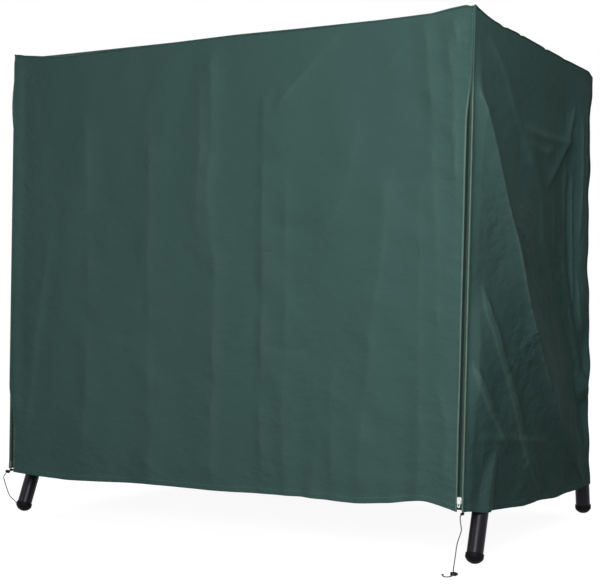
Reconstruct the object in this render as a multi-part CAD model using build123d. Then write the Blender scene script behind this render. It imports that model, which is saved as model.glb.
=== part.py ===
from build123d import *
import math
import os

# Three-seat canopy swing bench, standing closed in its zipped weather cover.
# Millimetres, +Z up. Origin on the ground under the middle of the bench, +X to the right of
# someone facing the bench's front, +Y towards its back.

# ---------------------------------------------------------------- driving dimensions
# stand
LEG_DIAMETER = 57.0
LEG_WALL = 1.5
APEX_X = 952.5
APEX_Y = 68.0
APEX_HEIGHT = 1580.0
LEG_SPLAY = 53.5
FRONT_FOOT_REACH = 629.0
REAR_FOOT_REACH = 538.0
KNEE_HEIGHT = 380.0
REAR_FOOT_LEAN = 6.4
KNEE_RADIUS = 220.0
STRETCHER_DIAMETER = 32.0
STRETCHER_WALL = 1.5
STRETCHER_HEIGHT = 430.0
STRETCHER_RISE = 30.0
REAR_STRETCHER_RISE = 90.0
STRETCHER_PLUG = 25.0
THREAD_ENGAGEMENT = 22.0
TOP_BAR_DIAMETER = 50.0
TOP_BAR_WALL = 1.5
TOP_BAR_RISE = 12.0

# apex brackets
GUSSET_THICKNESS = 6.0
GUSSET_SKIRT = 90.0
GUSSET_TAB = 22.0
GUSSET_SKIRT_MARGIN = 10.0
GUSSET_SHOULDER_MARGIN = 20.0
GUSSET_WAIST = 34.0
GUSSET_NECK = 24.0
GUSSET_WAIST_RISE = 20.0
SOCKET_WALL = 3.0
SOCKET_LENGTH = 130.0
SOCKET_BOLT_DEPTHS = (35.0, 95.0)
LEG_END_DROP = 95.0
SPIGOT_LENGTH = 60.0

# foot caps
CAP_WALL = 3.0
CAP_DOME_EXTRA = 3.3
CAP_FLAT_DEPTH = 1.0
CAP_FLOOR = 4.0
CAP_RIM = 10.0
CAP_PLUG_LENGTH = 30.0

# swing pivots and hangers
PIVOT_DROP = 50.0
PIVOT_PIN_DIAMETER = 12.0
PIN_FLANGE_DIAMETER = 24.0
PIN_FLANGE_THICKNESS = 6.0
PIN_NUT_WIDTH = 19.0
PIN_NUT_HEIGHT = 7.0
BUSH_WALL = 4.0
BUSH_LENGTH = 20.0
BUSH_END_PLAY = 1.0
HANGER_INSET = 62.5
HANGER_DIAMETER = 32.0
HANGER_WALL = 1.5
HANGER_TAIL = 16.0
EYE_WALL = 16.0
EYE_THICKNESS = 8.0
EYE_ARM_LENGTH = 95.0
EYE_ARM_INSET = 1.0

# bench
SEAT_RAIL_HEIGHT = 420.0
SEAT_LEAD = 369.0
SEAT_DEPTH = 500.0
FRONT_HANGER_SETBACK = 15.0
REAR_HANGER_OVERHANG = 5.0
FRONT_RAIL_SETBACK = 20.0
REAR_RAIL_SETBACK = 25.0
SIDE_RAIL_FRONT_END = 15.0
SIDE_RAIL_REAR_END = 20.0
RAIL_DIAMETER = 32.0
RAIL_WALL = 1.5
SLAT_WIDTH = 30.0
SLAT_THICKNESS = 4.0
SLAT_COUNT = 5
SLAT_SIDE_MARGIN = 152.0
SLAT_LAP = 12.0
SLAT_BACK_LAP = 2.0
BACK_POST_GAP = 15.7
BACK_POST_DIAMETER = 28.0
BACK_LENGTH = 560.0
BACK_LEAN = 17.0
ARM_RISE = 230.0
ARM_DIAMETER = 25.0
ARM_LENGTH = 480.0
ARM_FRONT_OVERHANG = 40.0
ARM_PAD_END_GAP = 15.5
ARM_PAD_WIDTH = 56.0
ARM_PAD_HEIGHT = 26.0
ARM_PAD_SEAT = 6.0
ARM_PAD_ROUNDING = 8.0
SEAT_CUSHION_SIDE_GAP = 23.2
SEAT_CUSHION_LEAD = 20.0
SEAT_CUSHION_THICKNESS = 90.0
BACK_CUSHION_SIDE_GAP = 28.2
BACK_CUSHION_HEIGHT = 480.0
BACK_CUSHION_THICKNESS = 85.0
CUSHION_ROUNDING = 20.0
CUSHION_GAP = 5.0

# canopy
CANOPY_TUBE_DIAMETER = 25.0
CANOPY_TUBE_WALL = 1.2
CANOPY_OVERHANG = 22.5
CANOPY_FRONT_REACH = 608.0
CANOPY_REAR_REACH = 410.0
CANOPY_PIVOT_RISE = 80.0
CANOPY_FRONT_HEADROOM = 0.3
CANOPY_REAR_HEADROOM = 44.0
CANOPY_FABRIC_THICKNESS = 1.5
CANOPY_FABRIC_FRONT_LAP = 5.0
CANOPY_FABRIC_REAR_LAP = 8.0
CANOPY_ARM_THICKNESS = 5.5
CANOPY_ARM_WIDTH = 40.0
CANOPY_BOLT_DIAMETER = 10.0
CANOPY_BOLT_HEAD_WIDTH = 16.0
CANOPY_BOLT_HEAD_HEIGHT = 6.5
CANOPY_BOLT_TAIL = 4.0
KNOB_DIAMETER = 50.0
KNOB_THICKNESS = 22.0
KNOB_LOBES = 5
KNOB_LOBE_SHARE = 0.36

# weather cover
COVER_SIDE_EASE = 45.0
COVER_FRONT_EASE = 40.0
COVER_REAR_EASE = 30.0
COVER_RISE = 185.0
COVER_ROOF_FALL = 89.0
FRONT_HEM_TUCK = 2.0
REAR_HEM_EASE = 11.0
FRONT_HEM_LEAD = 79.0
REAR_HEM_TRAIL = 39.0
FRONT_HEM_HEIGHT = 171.0
REAR_HEM_HEIGHT = 121.0
FABRIC_THICKNESS = 1.2
LEG_EASE = 6.3
LEG_BULGE_LEAD = 8.5
LEG_BULGE_TRAIL = 4.5
FLAP_GAP = 2.0

# zips
ZIP_TAPE_WIDTH = 11.5
ZIP_TAPE_THICKNESS = 2.0
ZIP_SLOT = 1.6
ZIP_END_ABOVE_HEM = 20.0
SLIDER_WIDTH = 16.0
SLIDER_HEIGHT = 22.0
SLIDER_PLATE = 1.8
SLIDER_ROUNDING = 3.0
SLIDER_CLEARANCE = 0.4
SLIDER_WEB = 0.8
SLIDER_WEB_SHORTER = 6.0
SLIDER_REST_HEIGHT = {"left": 204.0, "right": 222.0}
PIN_BELOW_TOP = 4.0
LUG_INNER = 3.0
LUG_OUTER = 5.0
LUG_HEIGHT = 4.4
LUG_MARGIN = 0.5
PULL_PIN_DIAMETER = 2.0
PULL_PLATE_GAP = 0.2
PULL_WIDTH = 9.0
PULL_LENGTH = 30.0
PULL_THICKNESS = 1.6
PULL_NECK_LENGTH = 8.0
PULL_SHOULDER_GAP = 0.45
PULL_ROUNDING = 2.5
PULL_WINDOW = (4.0, 8.0)
PULL_WINDOW_MARGIN = 4.0

# drawcords
CORD_DIAMETER = 3.5
CORD_BORE = 4.8
KNOT_DIAMETER = 7.0
HEM_MOUTH_WALL = 2.1
HEM_MOUTH_LENGTH = 14.0
HEM_MOUTH_BACK_WALL = 3.0
HEM_MOUTH_RISE = 6.0
HEM_MOUTH_DEPTH = 1.5
CORD_EXIT_RUN = 4.7
BEND_SHARE = 0.45
LOCK_WALL = 2.0
LOCK_LENGTH = 19.0
LOCK_ROUNDING = 1.2
LOCK_END_WALL = 1.5
LOCK_HOLE = 5.0
BUTTON_DIAMETER = 8.8
BUTTON_LENGTH = 19.0
BUTTON_STAND_OUT = 5.0
BUTTON_TRAVEL = 3.0
LOCK_RUN = {"right": 10, "left": 1}

# fits and fasteners
SLIP_FIT = 0.1
RUNNING_FIT = 0.05
TOUCH_GAP = 0.3
BOLT_DIAMETER = 8.0
BOLT_HOLE = 8.4
BOLT_HEAD_WIDTH = 13.0
BOLT_HEAD_HEIGHT = 5.0
NUT_HEIGHT = 6.5
WASHER_GAP = 0.5

# ---------------------------------------------------------------- sizes that follow from these
foot_x = APEX_X + LEG_SPLAY
front_foot_y = APEX_Y - FRONT_FOOT_REACH
rear_foot_y = APEX_Y + REAR_FOOT_REACH
leg_radius = LEG_DIAMETER / 2
leg_end_height = APEX_HEIGHT - LEG_END_DROP
pivot_height = APEX_HEIGHT - PIVOT_DROP
canopy_pivot_height = APEX_HEIGHT + CANOPY_PIVOT_RISE
top_bar_height = APEX_HEIGHT + TOP_BAR_RISE
hanger_x = APEX_X - HANGER_INSET
seat_front_y = APEX_Y - SEAT_LEAD
seat_rear_y = seat_front_y + SEAT_DEPTH
arm_height = SEAT_RAIL_HEIGHT + ARM_RISE
canopy_half_width = APEX_X + CANOPY_OVERHANG
canopy_front_y = APEX_Y - CANOPY_FRONT_REACH
canopy_rear_y = APEX_Y + CANOPY_REAR_REACH
cover_top_half_width = canopy_half_width + COVER_SIDE_EASE
cover_front_height = canopy_pivot_height + COVER_RISE
cover_rear_height = cover_front_height - COVER_ROOF_FALL
cover_top_front_y = canopy_front_y - COVER_FRONT_EASE
cover_top_rear_y = canopy_rear_y + COVER_REAR_EASE
front_hem_half_width = foot_x - FRONT_HEM_TUCK
rear_hem_half_width = APEX_X + leg_radius + REAR_HEM_EASE
front_hem_y = front_foot_y - FRONT_HEM_LEAD
rear_hem_y = rear_foot_y + REAR_HEM_TRAIL

parts = {}


# ---------------------------------------------------------------- shared shapes
def at_fraction(start, end, fraction):
    """Point on the straight line from start to end."""
    return Vector(*start) + (Vector(*end) - Vector(*start)) * fraction


def at_height(start, end, height):
    """Point on the line from start to end at a height above the ground."""
    return at_fraction(start, end, (height - start[2]) / (end[2] - start[2]))


def rod(start, end, diameter):
    """Solid round bar between two points."""
    start, end = Vector(*start), Vector(*end)
    bar = Cylinder(diameter / 2, (end - start).length, align=(Align.CENTER, Align.CENTER, Align.MIN))
    return Plane(origin=start, z_dir=end - start) * bar


def tube(start, end, diameter, wall):
    """Hollow round tube between two points."""
    return rod(start, end, diameter) - rod(start, end, diameter - 2 * wall)


def bar_x(point, x_start, x_end, diameter):
    """Round bar along X through a point."""
    return rod((x_start, point[1], point[2]), (x_end, point[1], point[2]), diameter)


def hex_x(point, x_start, x_end, width):
    """Hexagonal head or nut along X, width measured across its flats."""
    face = RegularPolygon(width / 2, 6, major_radius=False)
    plane = Plane(origin=(x_start, point[1], point[2]), z_dir=(x_end - x_start, 0, 0))
    return plane * extrude(face, amount=abs(x_end - x_start))


def flat_panel(corners, direction, thickness):
    """Flat sheet with the given outer corners, thickened in one direction."""
    outline = Polyline(*corners, close=True)
    return extrude(make_face(outline), amount=thickness, dir=direction)


def keep_pair(name, right_piece):
    """Store a right-hand piece and its left-hand mirror image as two nodes."""
    parts[name + "_right"] = right_piece
    parts[name + "_left"] = mirror(right_piece, about=Plane.YZ)


def both_sides(*right_pieces):
    """Group the given right-hand solids with their mirror images."""
    solids = []
    for piece in right_pieces:
        solids += list(piece.solids()) + list(mirror(piece, about=Plane.YZ).solids())
    return Compound(children=solids)


def add_points(*triples):
    """Sum of points and vectors given as triples."""
    return tuple(sum(values) for values in zip(*triples))


# ---------------------------------------------------------------- leg lines
front_foot = (foot_x, front_foot_y, 0.0)
apex = (APEX_X, APEX_Y, APEX_HEIGHT)
rear_foot = (APEX_X, rear_foot_y, 0.0)
knee_y = rear_foot_y - KNEE_HEIGHT * math.tan(math.radians(REAR_FOOT_LEAN))
rear_knee = (APEX_X, knee_y, KNEE_HEIGHT)
front_leg_end = at_height(front_foot, apex, leg_end_height)
rear_leg_end = at_height(rear_knee, apex, leg_end_height)


# ---------------------------------------------------------------- foot caps
# Each cap is a domed plastic cup whose rim covers the tube's end and whose plug fills its bore.
# The dome has a small flat where it stands on the ground.
cap_radius = leg_radius + CAP_WALL
dome_radius = cap_radius + CAP_DOME_EXTRA


def cap_levels(foot, leg_point):
    """Heights along the leg line of the dome's centre, the tube's seat and the rim's top."""
    line = Vector(*leg_point) - Vector(*foot)
    cosine = line.Z / line.length
    centre = (dome_radius - CAP_FLAT_DEPTH) / cosine
    edge = centre - math.sqrt(dome_radius**2 - cap_radius**2)
    seat = edge + CAP_FLOOR
    return centre, seat, seat + CAP_RIM


def foot_cap(foot, leg_point):
    centre, seat, rim = cap_levels(foot, leg_point)
    up = (Align.CENTER, Align.CENTER, Align.MIN)
    body = Pos(0, 0, -dome_radius) * Cylinder(cap_radius, rim + dome_radius, align=up)
    body = body & (Pos(0, 0, centre) * Sphere(dome_radius))
    bore = Cylinder(leg_radius + SLIP_FIT, LEG_DIAMETER, align=up)
    plug = Cylinder(leg_radius - LEG_WALL - SLIP_FIT, CAP_PLUG_LENGTH, align=up)
    body = body - Pos(0, 0, seat) * bore + Pos(0, 0, seat) * plug
    placed = Plane(origin=foot, z_dir=Vector(*leg_point) - Vector(*foot)) * body
    block = 4 * cap_radius
    below_ground = Box(block, block, block, align=(Align.CENTER, Align.CENTER, Align.MAX))
    return placed - Pos(foot[0], foot[1], 0) * below_ground


for end_name, foot, leg_point in (("front", front_foot, apex), ("rear", rear_foot, rear_knee)):
    keep_pair("foot_cap_" + end_name, foot_cap(foot, leg_point))


# ---------------------------------------------------------------- stretchers
def stretcher(start, end):
    """Tube between two leg lines, cut to the legs' round, with a solid threaded plug in each end."""
    line = (Vector(*end) - Vector(*start)).normalized()
    body = tube(start, end, STRETCHER_DIAMETER, STRETCHER_WALL)
    plug_end = leg_radius + STRETCHER_PLUG
    plug_diameter = STRETCHER_DIAMETER - 2 * STRETCHER_WALL
    for origin, way in ((Vector(*start), line), (Vector(*end), line * -1)):
        plug = rod(origin, origin + way * plug_end, plug_diameter)
        body = body + plug - rod(origin, origin + way * plug_end, BOLT_DIAMETER + 2 * SLIP_FIT)
    return body


def stretcher_bolt(origin, way, leg_line):
    """Bolt through a leg along a stretcher's line, its head's corners just clear of the leg."""
    cosine = abs(way.dot(leg_line))
    head_corner = BOLT_HEAD_WIDTH / math.sqrt(3)
    outside = (leg_radius + head_corner * cosine) / math.sqrt(1 - cosine**2) + WASHER_GAP
    inside = leg_radius + THREAD_ENGAGEMENT
    shank = rod(origin - way * outside, origin + way * inside, BOLT_DIAMETER)
    head_plane = Plane(origin=origin - way * outside, z_dir=way * -1)
    return shank + head_plane * extrude(
        RegularPolygon(BOLT_HEAD_WIDTH / 2, 6, major_radius=False), amount=BOLT_HEAD_HEIGHT
    )


side_front = at_height(front_foot, apex, STRETCHER_HEIGHT)
side_rear = at_height(rear_knee, apex, STRETCHER_HEIGHT + STRETCHER_RISE)
rear_tie = at_height(rear_knee, apex, STRETCHER_HEIGHT + REAR_STRETCHER_RISE)
leg_outer_front = rod(front_foot, apex, LEG_DIAMETER + TOUCH_GAP)
leg_outer_rear = rod(rear_knee, apex, LEG_DIAMETER + TOUCH_GAP)
side_stretcher = stretcher(side_front, side_rear) - leg_outer_front - leg_outer_rear
parts["side_stretchers"] = both_sides(side_stretcher)

rear_tie_left = (-rear_tie.X, rear_tie.Y, rear_tie.Z)
rear_stretcher = stretcher(rear_tie_left, tuple(rear_tie)) - leg_outer_rear
parts["rear_stretcher"] = rear_stretcher - mirror(leg_outer_rear, about=Plane.YZ)

side_line = (side_rear - side_front).normalized()
front_leg_line = (Vector(*apex) - Vector(*front_foot)).normalized()
rear_leg_line = (Vector(*apex) - Vector(*rear_knee)).normalized()
stretcher_bolts = [
    stretcher_bolt(side_front, side_line, front_leg_line),
    stretcher_bolt(side_rear, side_line * -1, rear_leg_line),
    stretcher_bolt(rear_tie, Vector(-1, 0, 0), rear_leg_line),
]
stretcher_holes = [
    rod(side_front - side_line * LEG_DIAMETER, side_front + side_line * LEG_DIAMETER, BOLT_HOLE),
    rod(side_rear - side_line * LEG_DIAMETER, side_rear + side_line * LEG_DIAMETER, BOLT_HOLE),
    bar_x(tuple(rear_tie), rear_tie.X - LEG_DIAMETER, rear_tie.X + LEG_DIAMETER, BOLT_HOLE),
]

# ---------------------------------------------------------------- legs
socket_bolt_points = []
for depth in SOCKET_BOLT_DEPTHS:
    for leg_point in (front_foot, rear_knee):
        socket_bolt_points.append(at_height(leg_point, apex, leg_end_height - depth))
socket_bolt_reach = leg_radius + SLIP_FIT + SOCKET_WALL + WASHER_GAP + 0.4
socket_holes = [
    bar_x(tuple(p), p.X - LEG_DIAMETER, p.X + LEG_DIAMETER, BOLT_HOLE)
    for p in socket_bolt_points
]

front_leg_start = Vector(*front_foot) + front_leg_line * cap_levels(front_foot, apex)[1]
front_leg = tube(front_leg_start, front_leg_end, LEG_DIAMETER, LEG_WALL)

rear_shin_line = (Vector(*rear_knee) - Vector(*rear_foot)).normalized()
rear_leg_start = Vector(*rear_foot) + rear_shin_line * cap_levels(rear_foot, rear_knee)[1]
rear_path = FilletPolyline(rear_leg_start, rear_knee, rear_leg_end, radius=KNEE_RADIUS)
rear_section = Circle(leg_radius) - Circle(leg_radius - LEG_WALL)
rear_plane = Plane(origin=rear_leg_start, z_dir=Vector(*rear_knee) - rear_leg_start)
rear_leg = sweep(rear_plane * rear_section, path=rear_path)

for hole in socket_holes + stretcher_holes:
    front_leg = front_leg - hole
    rear_leg = rear_leg - hole
keep_pair("front_leg", front_leg)
keep_pair("rear_leg", rear_leg)

# ---------------------------------------------------------------- apex brackets
# A steel gusset plate with two leg sockets below, a spigot for the top bar, and holes for the
# swing's pin and the canopy's bolt.
gusset_foot = leg_end_height - GUSSET_SKIRT
gusset_waist = pivot_height + GUSSET_WAIST_RISE
gusset_top = canopy_pivot_height + GUSSET_TAB
gusset_outline = [
    (front_leg_end.Y - GUSSET_SKIRT_MARGIN, gusset_foot),
    (rear_leg_end.Y + GUSSET_SKIRT_MARGIN, gusset_foot),
    (rear_leg_end.Y + GUSSET_SHOULDER_MARGIN, leg_end_height),
    (APEX_Y + GUSSET_WAIST, gusset_waist),
    (APEX_Y + GUSSET_NECK, gusset_top),
    (APEX_Y - GUSSET_NECK, gusset_top),
    (APEX_Y - GUSSET_WAIST, gusset_waist),
    (front_leg_end.Y - GUSSET_SHOULDER_MARGIN, leg_end_height),
]
gusset_face = make_face(Plane.YZ * Polyline(*gusset_outline, close=True))
bracket = Pos(APEX_X, 0, 0) * extrude(gusset_face, amount=GUSSET_THICKNESS / 2, both=True)
socket_bore = LEG_DIAMETER + 2 * SLIP_FIT
leg_bores = []
for foot, end in ((front_foot, front_leg_end), (rear_knee, rear_leg_end)):
    line = (Vector(*end) - Vector(*foot)).normalized()
    bottom = end - line * SOCKET_LENGTH
    bracket = bracket + rod(bottom, end + line * SOCKET_WALL, socket_bore + 2 * SOCKET_WALL)
    leg_bores.append(rod(bottom - line * GUSSET_SHOULDER_MARGIN, end, socket_bore))
for bore in leg_bores:
    bracket = bracket - bore
top_bar_point = (0.0, APEX_Y, top_bar_height)
gusset_inner = APEX_X - GUSSET_THICKNESS / 2
gusset_outer = APEX_X + GUSSET_THICKNESS / 2
spigot_diameter = TOP_BAR_DIAMETER - 2 * TOP_BAR_WALL - 2 * SLIP_FIT
bracket = bracket + bar_x(top_bar_point, gusset_inner - SPIGOT_LENGTH, gusset_inner, spigot_diameter)
pivot_point = (0.0, APEX_Y, pivot_height)
canopy_pivot = (0.0, APEX_Y, canopy_pivot_height)
for centre, bolt_diameter in ((pivot_point, PIVOT_PIN_DIAMETER), (canopy_pivot, CANOPY_BOLT_DIAMETER)):
    hole_diameter = bolt_diameter + 2 * SLIP_FIT
    bracket = bracket - bar_x(centre, gusset_inner - 1, gusset_outer + 1, hole_diameter)
for hole in socket_holes:
    bracket = bracket - hole
keep_pair("apex_bracket", bracket)

parts["top_bar"] = tube(
    (-gusset_inner, APEX_Y, top_bar_height),
    (gusset_inner, APEX_Y, top_bar_height),
    TOP_BAR_DIAMETER,
    TOP_BAR_WALL,
)

# ---------------------------------------------------------------- stand fasteners
socket_bolts = []
socket_nuts = []
for p in socket_bolt_points:
    outer = p.X + socket_bolt_reach
    inner = p.X - socket_bolt_reach
    tip = inner - NUT_HEIGHT - 1.0
    shank = bar_x(tuple(p), tip, outer, BOLT_DIAMETER)
    socket_bolts.append(shank + hex_x(tuple(p), outer, outer + BOLT_HEAD_HEIGHT, BOLT_HEAD_WIDTH))
    nut = hex_x(tuple(p), inner, inner - NUT_HEIGHT, BOLT_HEAD_WIDTH)
    socket_nuts.append(nut - bar_x(tuple(p), tip - 1, inner + 1, BOLT_DIAMETER + SLIP_FIT))
parts["stand_bolts"] = both_sides(*socket_bolts, *stretcher_bolts)
parts["stand_nuts"] = both_sides(*socket_nuts)

# ---------------------------------------------------------------- swing pins and bushes
bush_diameter = PIVOT_PIN_DIAMETER + 2 * BUSH_WALL
bush_inner = hanger_x - BUSH_LENGTH / 2
bush_outer = hanger_x + BUSH_LENGTH / 2
flange_face = bush_inner - BUSH_END_PLAY
pin_end = gusset_outer + PIN_NUT_HEIGHT + 1.0
pin = bar_x(pivot_point, flange_face, pin_end, PIVOT_PIN_DIAMETER)
pin = pin + bar_x(pivot_point, flange_face - PIN_FLANGE_THICKNESS, flange_face, PIN_FLANGE_DIAMETER)
pin = pin + bar_x(pivot_point, bush_outer + BUSH_END_PLAY, gusset_inner, bush_diameter)
pin = pin + hex_x(pivot_point, gusset_outer, gusset_outer + PIN_NUT_HEIGHT, PIN_NUT_WIDTH)
parts["swing_pins"] = both_sides(pin)

bush = bar_x(pivot_point, bush_inner, bush_outer, bush_diameter)
bush_bore = PIVOT_PIN_DIAMETER + 2 * RUNNING_FIT
bush = bush - bar_x(pivot_point, bush_inner - 1, bush_outer + 1, bush_bore)
parts["pivot_bushes"] = both_sides(bush)

# ---------------------------------------------------------------- hangers
hanger_ends = {
    "front": (hanger_x, seat_front_y + FRONT_HANGER_SETBACK, SEAT_RAIL_HEIGHT - HANGER_TAIL),
    "rear": (hanger_x, seat_rear_y + REAR_HANGER_OVERHANG, SEAT_RAIL_HEIGHT - HANGER_TAIL),
}
hanger_top = (hanger_x, APEX_Y, pivot_height)
hanger_inner = hanger_x - HANGER_DIAMETER / 2
side_rail_x = hanger_inner - RAIL_DIAMETER / 2 - TOUCH_GAP
arm_x = hanger_inner - ARM_DIAMETER / 2 - TOUCH_GAP
side_rail_inner = side_rail_x - RAIL_DIAMETER / 2
arm_inner = arm_x - ARM_DIAMETER / 2
seat_bolt_points = []
for end in hanger_ends.values():
    for height, inner_x in ((SEAT_RAIL_HEIGHT, side_rail_inner), (arm_height, arm_inner)):
        seat_bolt_points.append((at_height(end, hanger_top, height), inner_x))
seat_holes = [
    bar_x(tuple(p), inner_x - 1, hanger_x + HANGER_DIAMETER, BOLT_HOLE)
    for p, inner_x in seat_bolt_points
]

eye_inner = hanger_x - EYE_THICKNESS / 2
eye_outer = hanger_x + EYE_THICKNESS / 2
eye = bar_x(pivot_point, eye_inner, eye_outer, bush_diameter + 2 * EYE_WALL)
from_end = (Align.CENTER, Align.CENTER, Align.MIN)
eye_arm_width = HANGER_DIAMETER - 2 * EYE_ARM_INSET
for end_name, end in hanger_ends.items():
    line = (Vector(*end) - Vector(*hanger_top)).normalized()
    weld = Vector(*hanger_top) + line * EYE_ARM_LENGTH
    arm_plane = Plane(origin=hanger_top, x_dir=(1, 0, 0), z_dir=line)
    eye = eye + arm_plane * Box(EYE_THICKNESS, eye_arm_width, EYE_ARM_LENGTH, align=from_end)
    hanger = tube(weld, end, HANGER_DIAMETER, HANGER_WALL)
    for hole in seat_holes:
        hanger = hanger - hole
    keep_pair("hanger_" + end_name, hanger)
eye = eye - bar_x(pivot_point, eye_inner - 1, eye_outer + 1, bush_diameter + SLIP_FIT)
parts["hanger_eyes"] = both_sides(eye)

# ---------------------------------------------------------------- seat frame
side_rail = tube(
    (side_rail_x, seat_front_y - SIDE_RAIL_FRONT_END, SEAT_RAIL_HEIGHT),
    (side_rail_x, seat_rear_y + SIDE_RAIL_REAR_END, SEAT_RAIL_HEIGHT),
    RAIL_DIAMETER,
    RAIL_WALL,
)
for hole in seat_holes:
    side_rail = side_rail - hole
parts["seat_side_rails"] = both_sides(side_rail)

rail_reach = side_rail_inner - TOUCH_GAP
front_rail_y = seat_front_y + FRONT_RAIL_SETBACK
rear_rail_y = seat_rear_y - REAR_RAIL_SETBACK
for rail_name, rail_y in (("front", front_rail_y), ("rear", rear_rail_y)):
    parts["seat_" + rail_name + "_rail"] = tube(
        (-rail_reach, rail_y, SEAT_RAIL_HEIGHT),
        (rail_reach, rail_y, SEAT_RAIL_HEIGHT),
        RAIL_DIAMETER,
        RAIL_WALL,
    )

back_post_x = side_rail_inner - BACK_POST_GAP - BACK_POST_DIAMETER / 2
slat_span = back_post_x - SLAT_SIDE_MARGIN
slat_positions = [slat_span * (2 * step / (SLAT_COUNT - 1) - 1) for step in range(SLAT_COUNT)]
slat_bottom = SEAT_RAIL_HEIGHT + RAIL_DIAMETER / 2
slat_front = front_rail_y - SLAT_LAP
seat_slat_length = rear_rail_y - SLAT_BACK_LAP - slat_front
seat_slats = [
    Pos(x, slat_front, slat_bottom)
    * Box(SLAT_WIDTH, seat_slat_length, SLAT_THICKNESS, align=(Align.CENTER, Align.MIN, Align.MIN))
    for x in slat_positions
]
parts["seat_slats"] = Compound(children=seat_slats)

# ---------------------------------------------------------------- back frame
lean = math.radians(BACK_LEAN)
back_up = (0.0, math.sin(lean), math.cos(lean))
back_foot = (back_post_x, rear_rail_y, SEAT_RAIL_HEIGHT)
back_head = add_points(back_foot, tuple(BACK_LENGTH * c for c in back_up))
foot_point = (0.0, rear_rail_y, SEAT_RAIL_HEIGHT)
head_point = (0.0, back_head[1], back_head[2])
rear_rail_cut = bar_x(foot_point, -rail_reach, rail_reach, RAIL_DIAMETER + SLIP_FIT)
top_rail_reach = back_post_x + BACK_POST_DIAMETER / 2
top_rail = bar_x(head_point, -top_rail_reach, top_rail_reach, BACK_POST_DIAMETER)
top_rail_bore = BACK_POST_DIAMETER - 2 * RAIL_WALL
parts["back_top_rail"] = top_rail - bar_x(head_point, -top_rail_reach, top_rail_reach, top_rail_bore)
top_rail_cut = bar_x(head_point, -rail_reach, rail_reach, BACK_POST_DIAMETER + SLIP_FIT)
back_post = tube(back_foot, back_head, BACK_POST_DIAMETER, RAIL_WALL) - rear_rail_cut - top_rail_cut
parts["back_posts"] = both_sides(back_post)

back_slats = []
for x in slat_positions:
    slat_plane = Plane(origin=(x, rear_rail_y, SEAT_RAIL_HEIGHT), x_dir=(1, 0, 0), z_dir=back_up)
    slat = Box(SLAT_WIDTH, SLAT_THICKNESS, BACK_LENGTH, align=from_end)
    back_slats.append(slat_plane * slat - rear_rail_cut - top_rail_cut)
parts["back_slats"] = Compound(children=[slat.solids()[0] for slat in back_slats])

# ---------------------------------------------------------------- armrests
front_hanger_y = at_height(hanger_ends["front"], hanger_top, arm_height).Y
rear_hanger_y = at_height(hanger_ends["rear"], hanger_top, arm_height).Y
arm_front = (arm_x, front_hanger_y - ARM_FRONT_OVERHANG, arm_height)
arm_rear = add_points(arm_front, (0.0, ARM_LENGTH, 0.0))
armrest = tube(arm_front, arm_rear, ARM_DIAMETER, RAIL_WALL)
for hole in seat_holes:
    armrest = armrest - hole
parts["armrests"] = both_sides(armrest)

pad_length = rear_hanger_y - front_hanger_y - HANGER_DIAMETER - 2 * ARM_PAD_END_GAP
pad = Pos(arm_x, (front_hanger_y + rear_hanger_y) / 2, arm_height + ARM_PAD_SEAT) * Box(
    ARM_PAD_WIDTH, pad_length, ARM_PAD_HEIGHT, align=from_end
)
pad_edges = pad.edges().filter_by(Axis.Z) + pad.faces().sort_by(Axis.Z)[-1].edges()
pad = fillet(pad_edges, ARM_PAD_ROUNDING) - rod(arm_front, arm_rear, ARM_DIAMETER + SLIP_FIT)
parts["arm_pads"] = both_sides(pad)

seat_bolts = []
for p, inner_x in seat_bolt_points:
    head_x = hanger_x + HANGER_DIAMETER / 2 + WASHER_GAP
    nut_x = inner_x - WASHER_GAP
    bolt = bar_x(tuple(p), nut_x, head_x, BOLT_DIAMETER)
    bolt = bolt + hex_x(tuple(p), head_x, head_x + BOLT_HEAD_HEIGHT, BOLT_HEAD_WIDTH)
    seat_bolts.append(bolt + hex_x(tuple(p), nut_x, nut_x - NUT_HEIGHT, BOLT_HEAD_WIDTH))
parts["seat_bolts"] = both_sides(*seat_bolts)

# ---------------------------------------------------------------- cushions
pad_inner = arm_x - ARM_PAD_WIDTH / 2
seat_cushion_bottom = slat_bottom + SLAT_THICKNESS + TOUCH_GAP
seat_cushion_front = front_rail_y - SEAT_CUSHION_LEAD
post_front = BACK_POST_DIAMETER / 2 / math.cos(lean)
post_front_y = rear_rail_y + (slat_bottom - SEAT_RAIL_HEIGHT) * math.tan(lean) - post_front
seat_cushion = Pos(0, seat_cushion_front, seat_cushion_bottom) * Box(
    2 * (pad_inner - SEAT_CUSHION_SIDE_GAP),
    post_front_y - CUSHION_GAP - seat_cushion_front,
    SEAT_CUSHION_THICKNESS,
    align=(Align.CENTER, Align.MIN, Align.MIN),
)
parts["seat_cushion"] = fillet(seat_cushion.edges(), CUSHION_ROUNDING)

back_cushion_offset = BACK_POST_DIAMETER / 2 + TOUCH_GAP
back_cushion_rise = seat_cushion_bottom + SEAT_CUSHION_THICKNESS + CUSHION_GAP - SEAT_RAIL_HEIGHT
back_cushion_start = (back_cushion_rise - back_cushion_offset * math.sin(lean)) / math.cos(lean)
back_plane = Plane(origin=foot_point, x_dir=(1, 0, 0), z_dir=back_up)
back_cushion = Pos(0, -back_cushion_offset, back_cushion_start) * Box(
    2 * (pad_inner - BACK_CUSHION_SIDE_GAP),
    BACK_CUSHION_THICKNESS,
    BACK_CUSHION_HEIGHT,
    align=(Align.CENTER, Align.MAX, Align.MIN),
)
parts["back_cushion"] = back_plane * fillet(back_cushion.edges(), CUSHION_ROUNDING)

# ---------------------------------------------------------------- canopy frame
roof_slope = (cover_front_height - cover_rear_height) / (cover_top_rear_y - cover_top_front_y)


def roof_underside(y):
    """Height of the cover roof's lower face."""
    return cover_front_height - roof_slope * (y - cover_top_front_y) - FABRIC_THICKNESS


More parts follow.
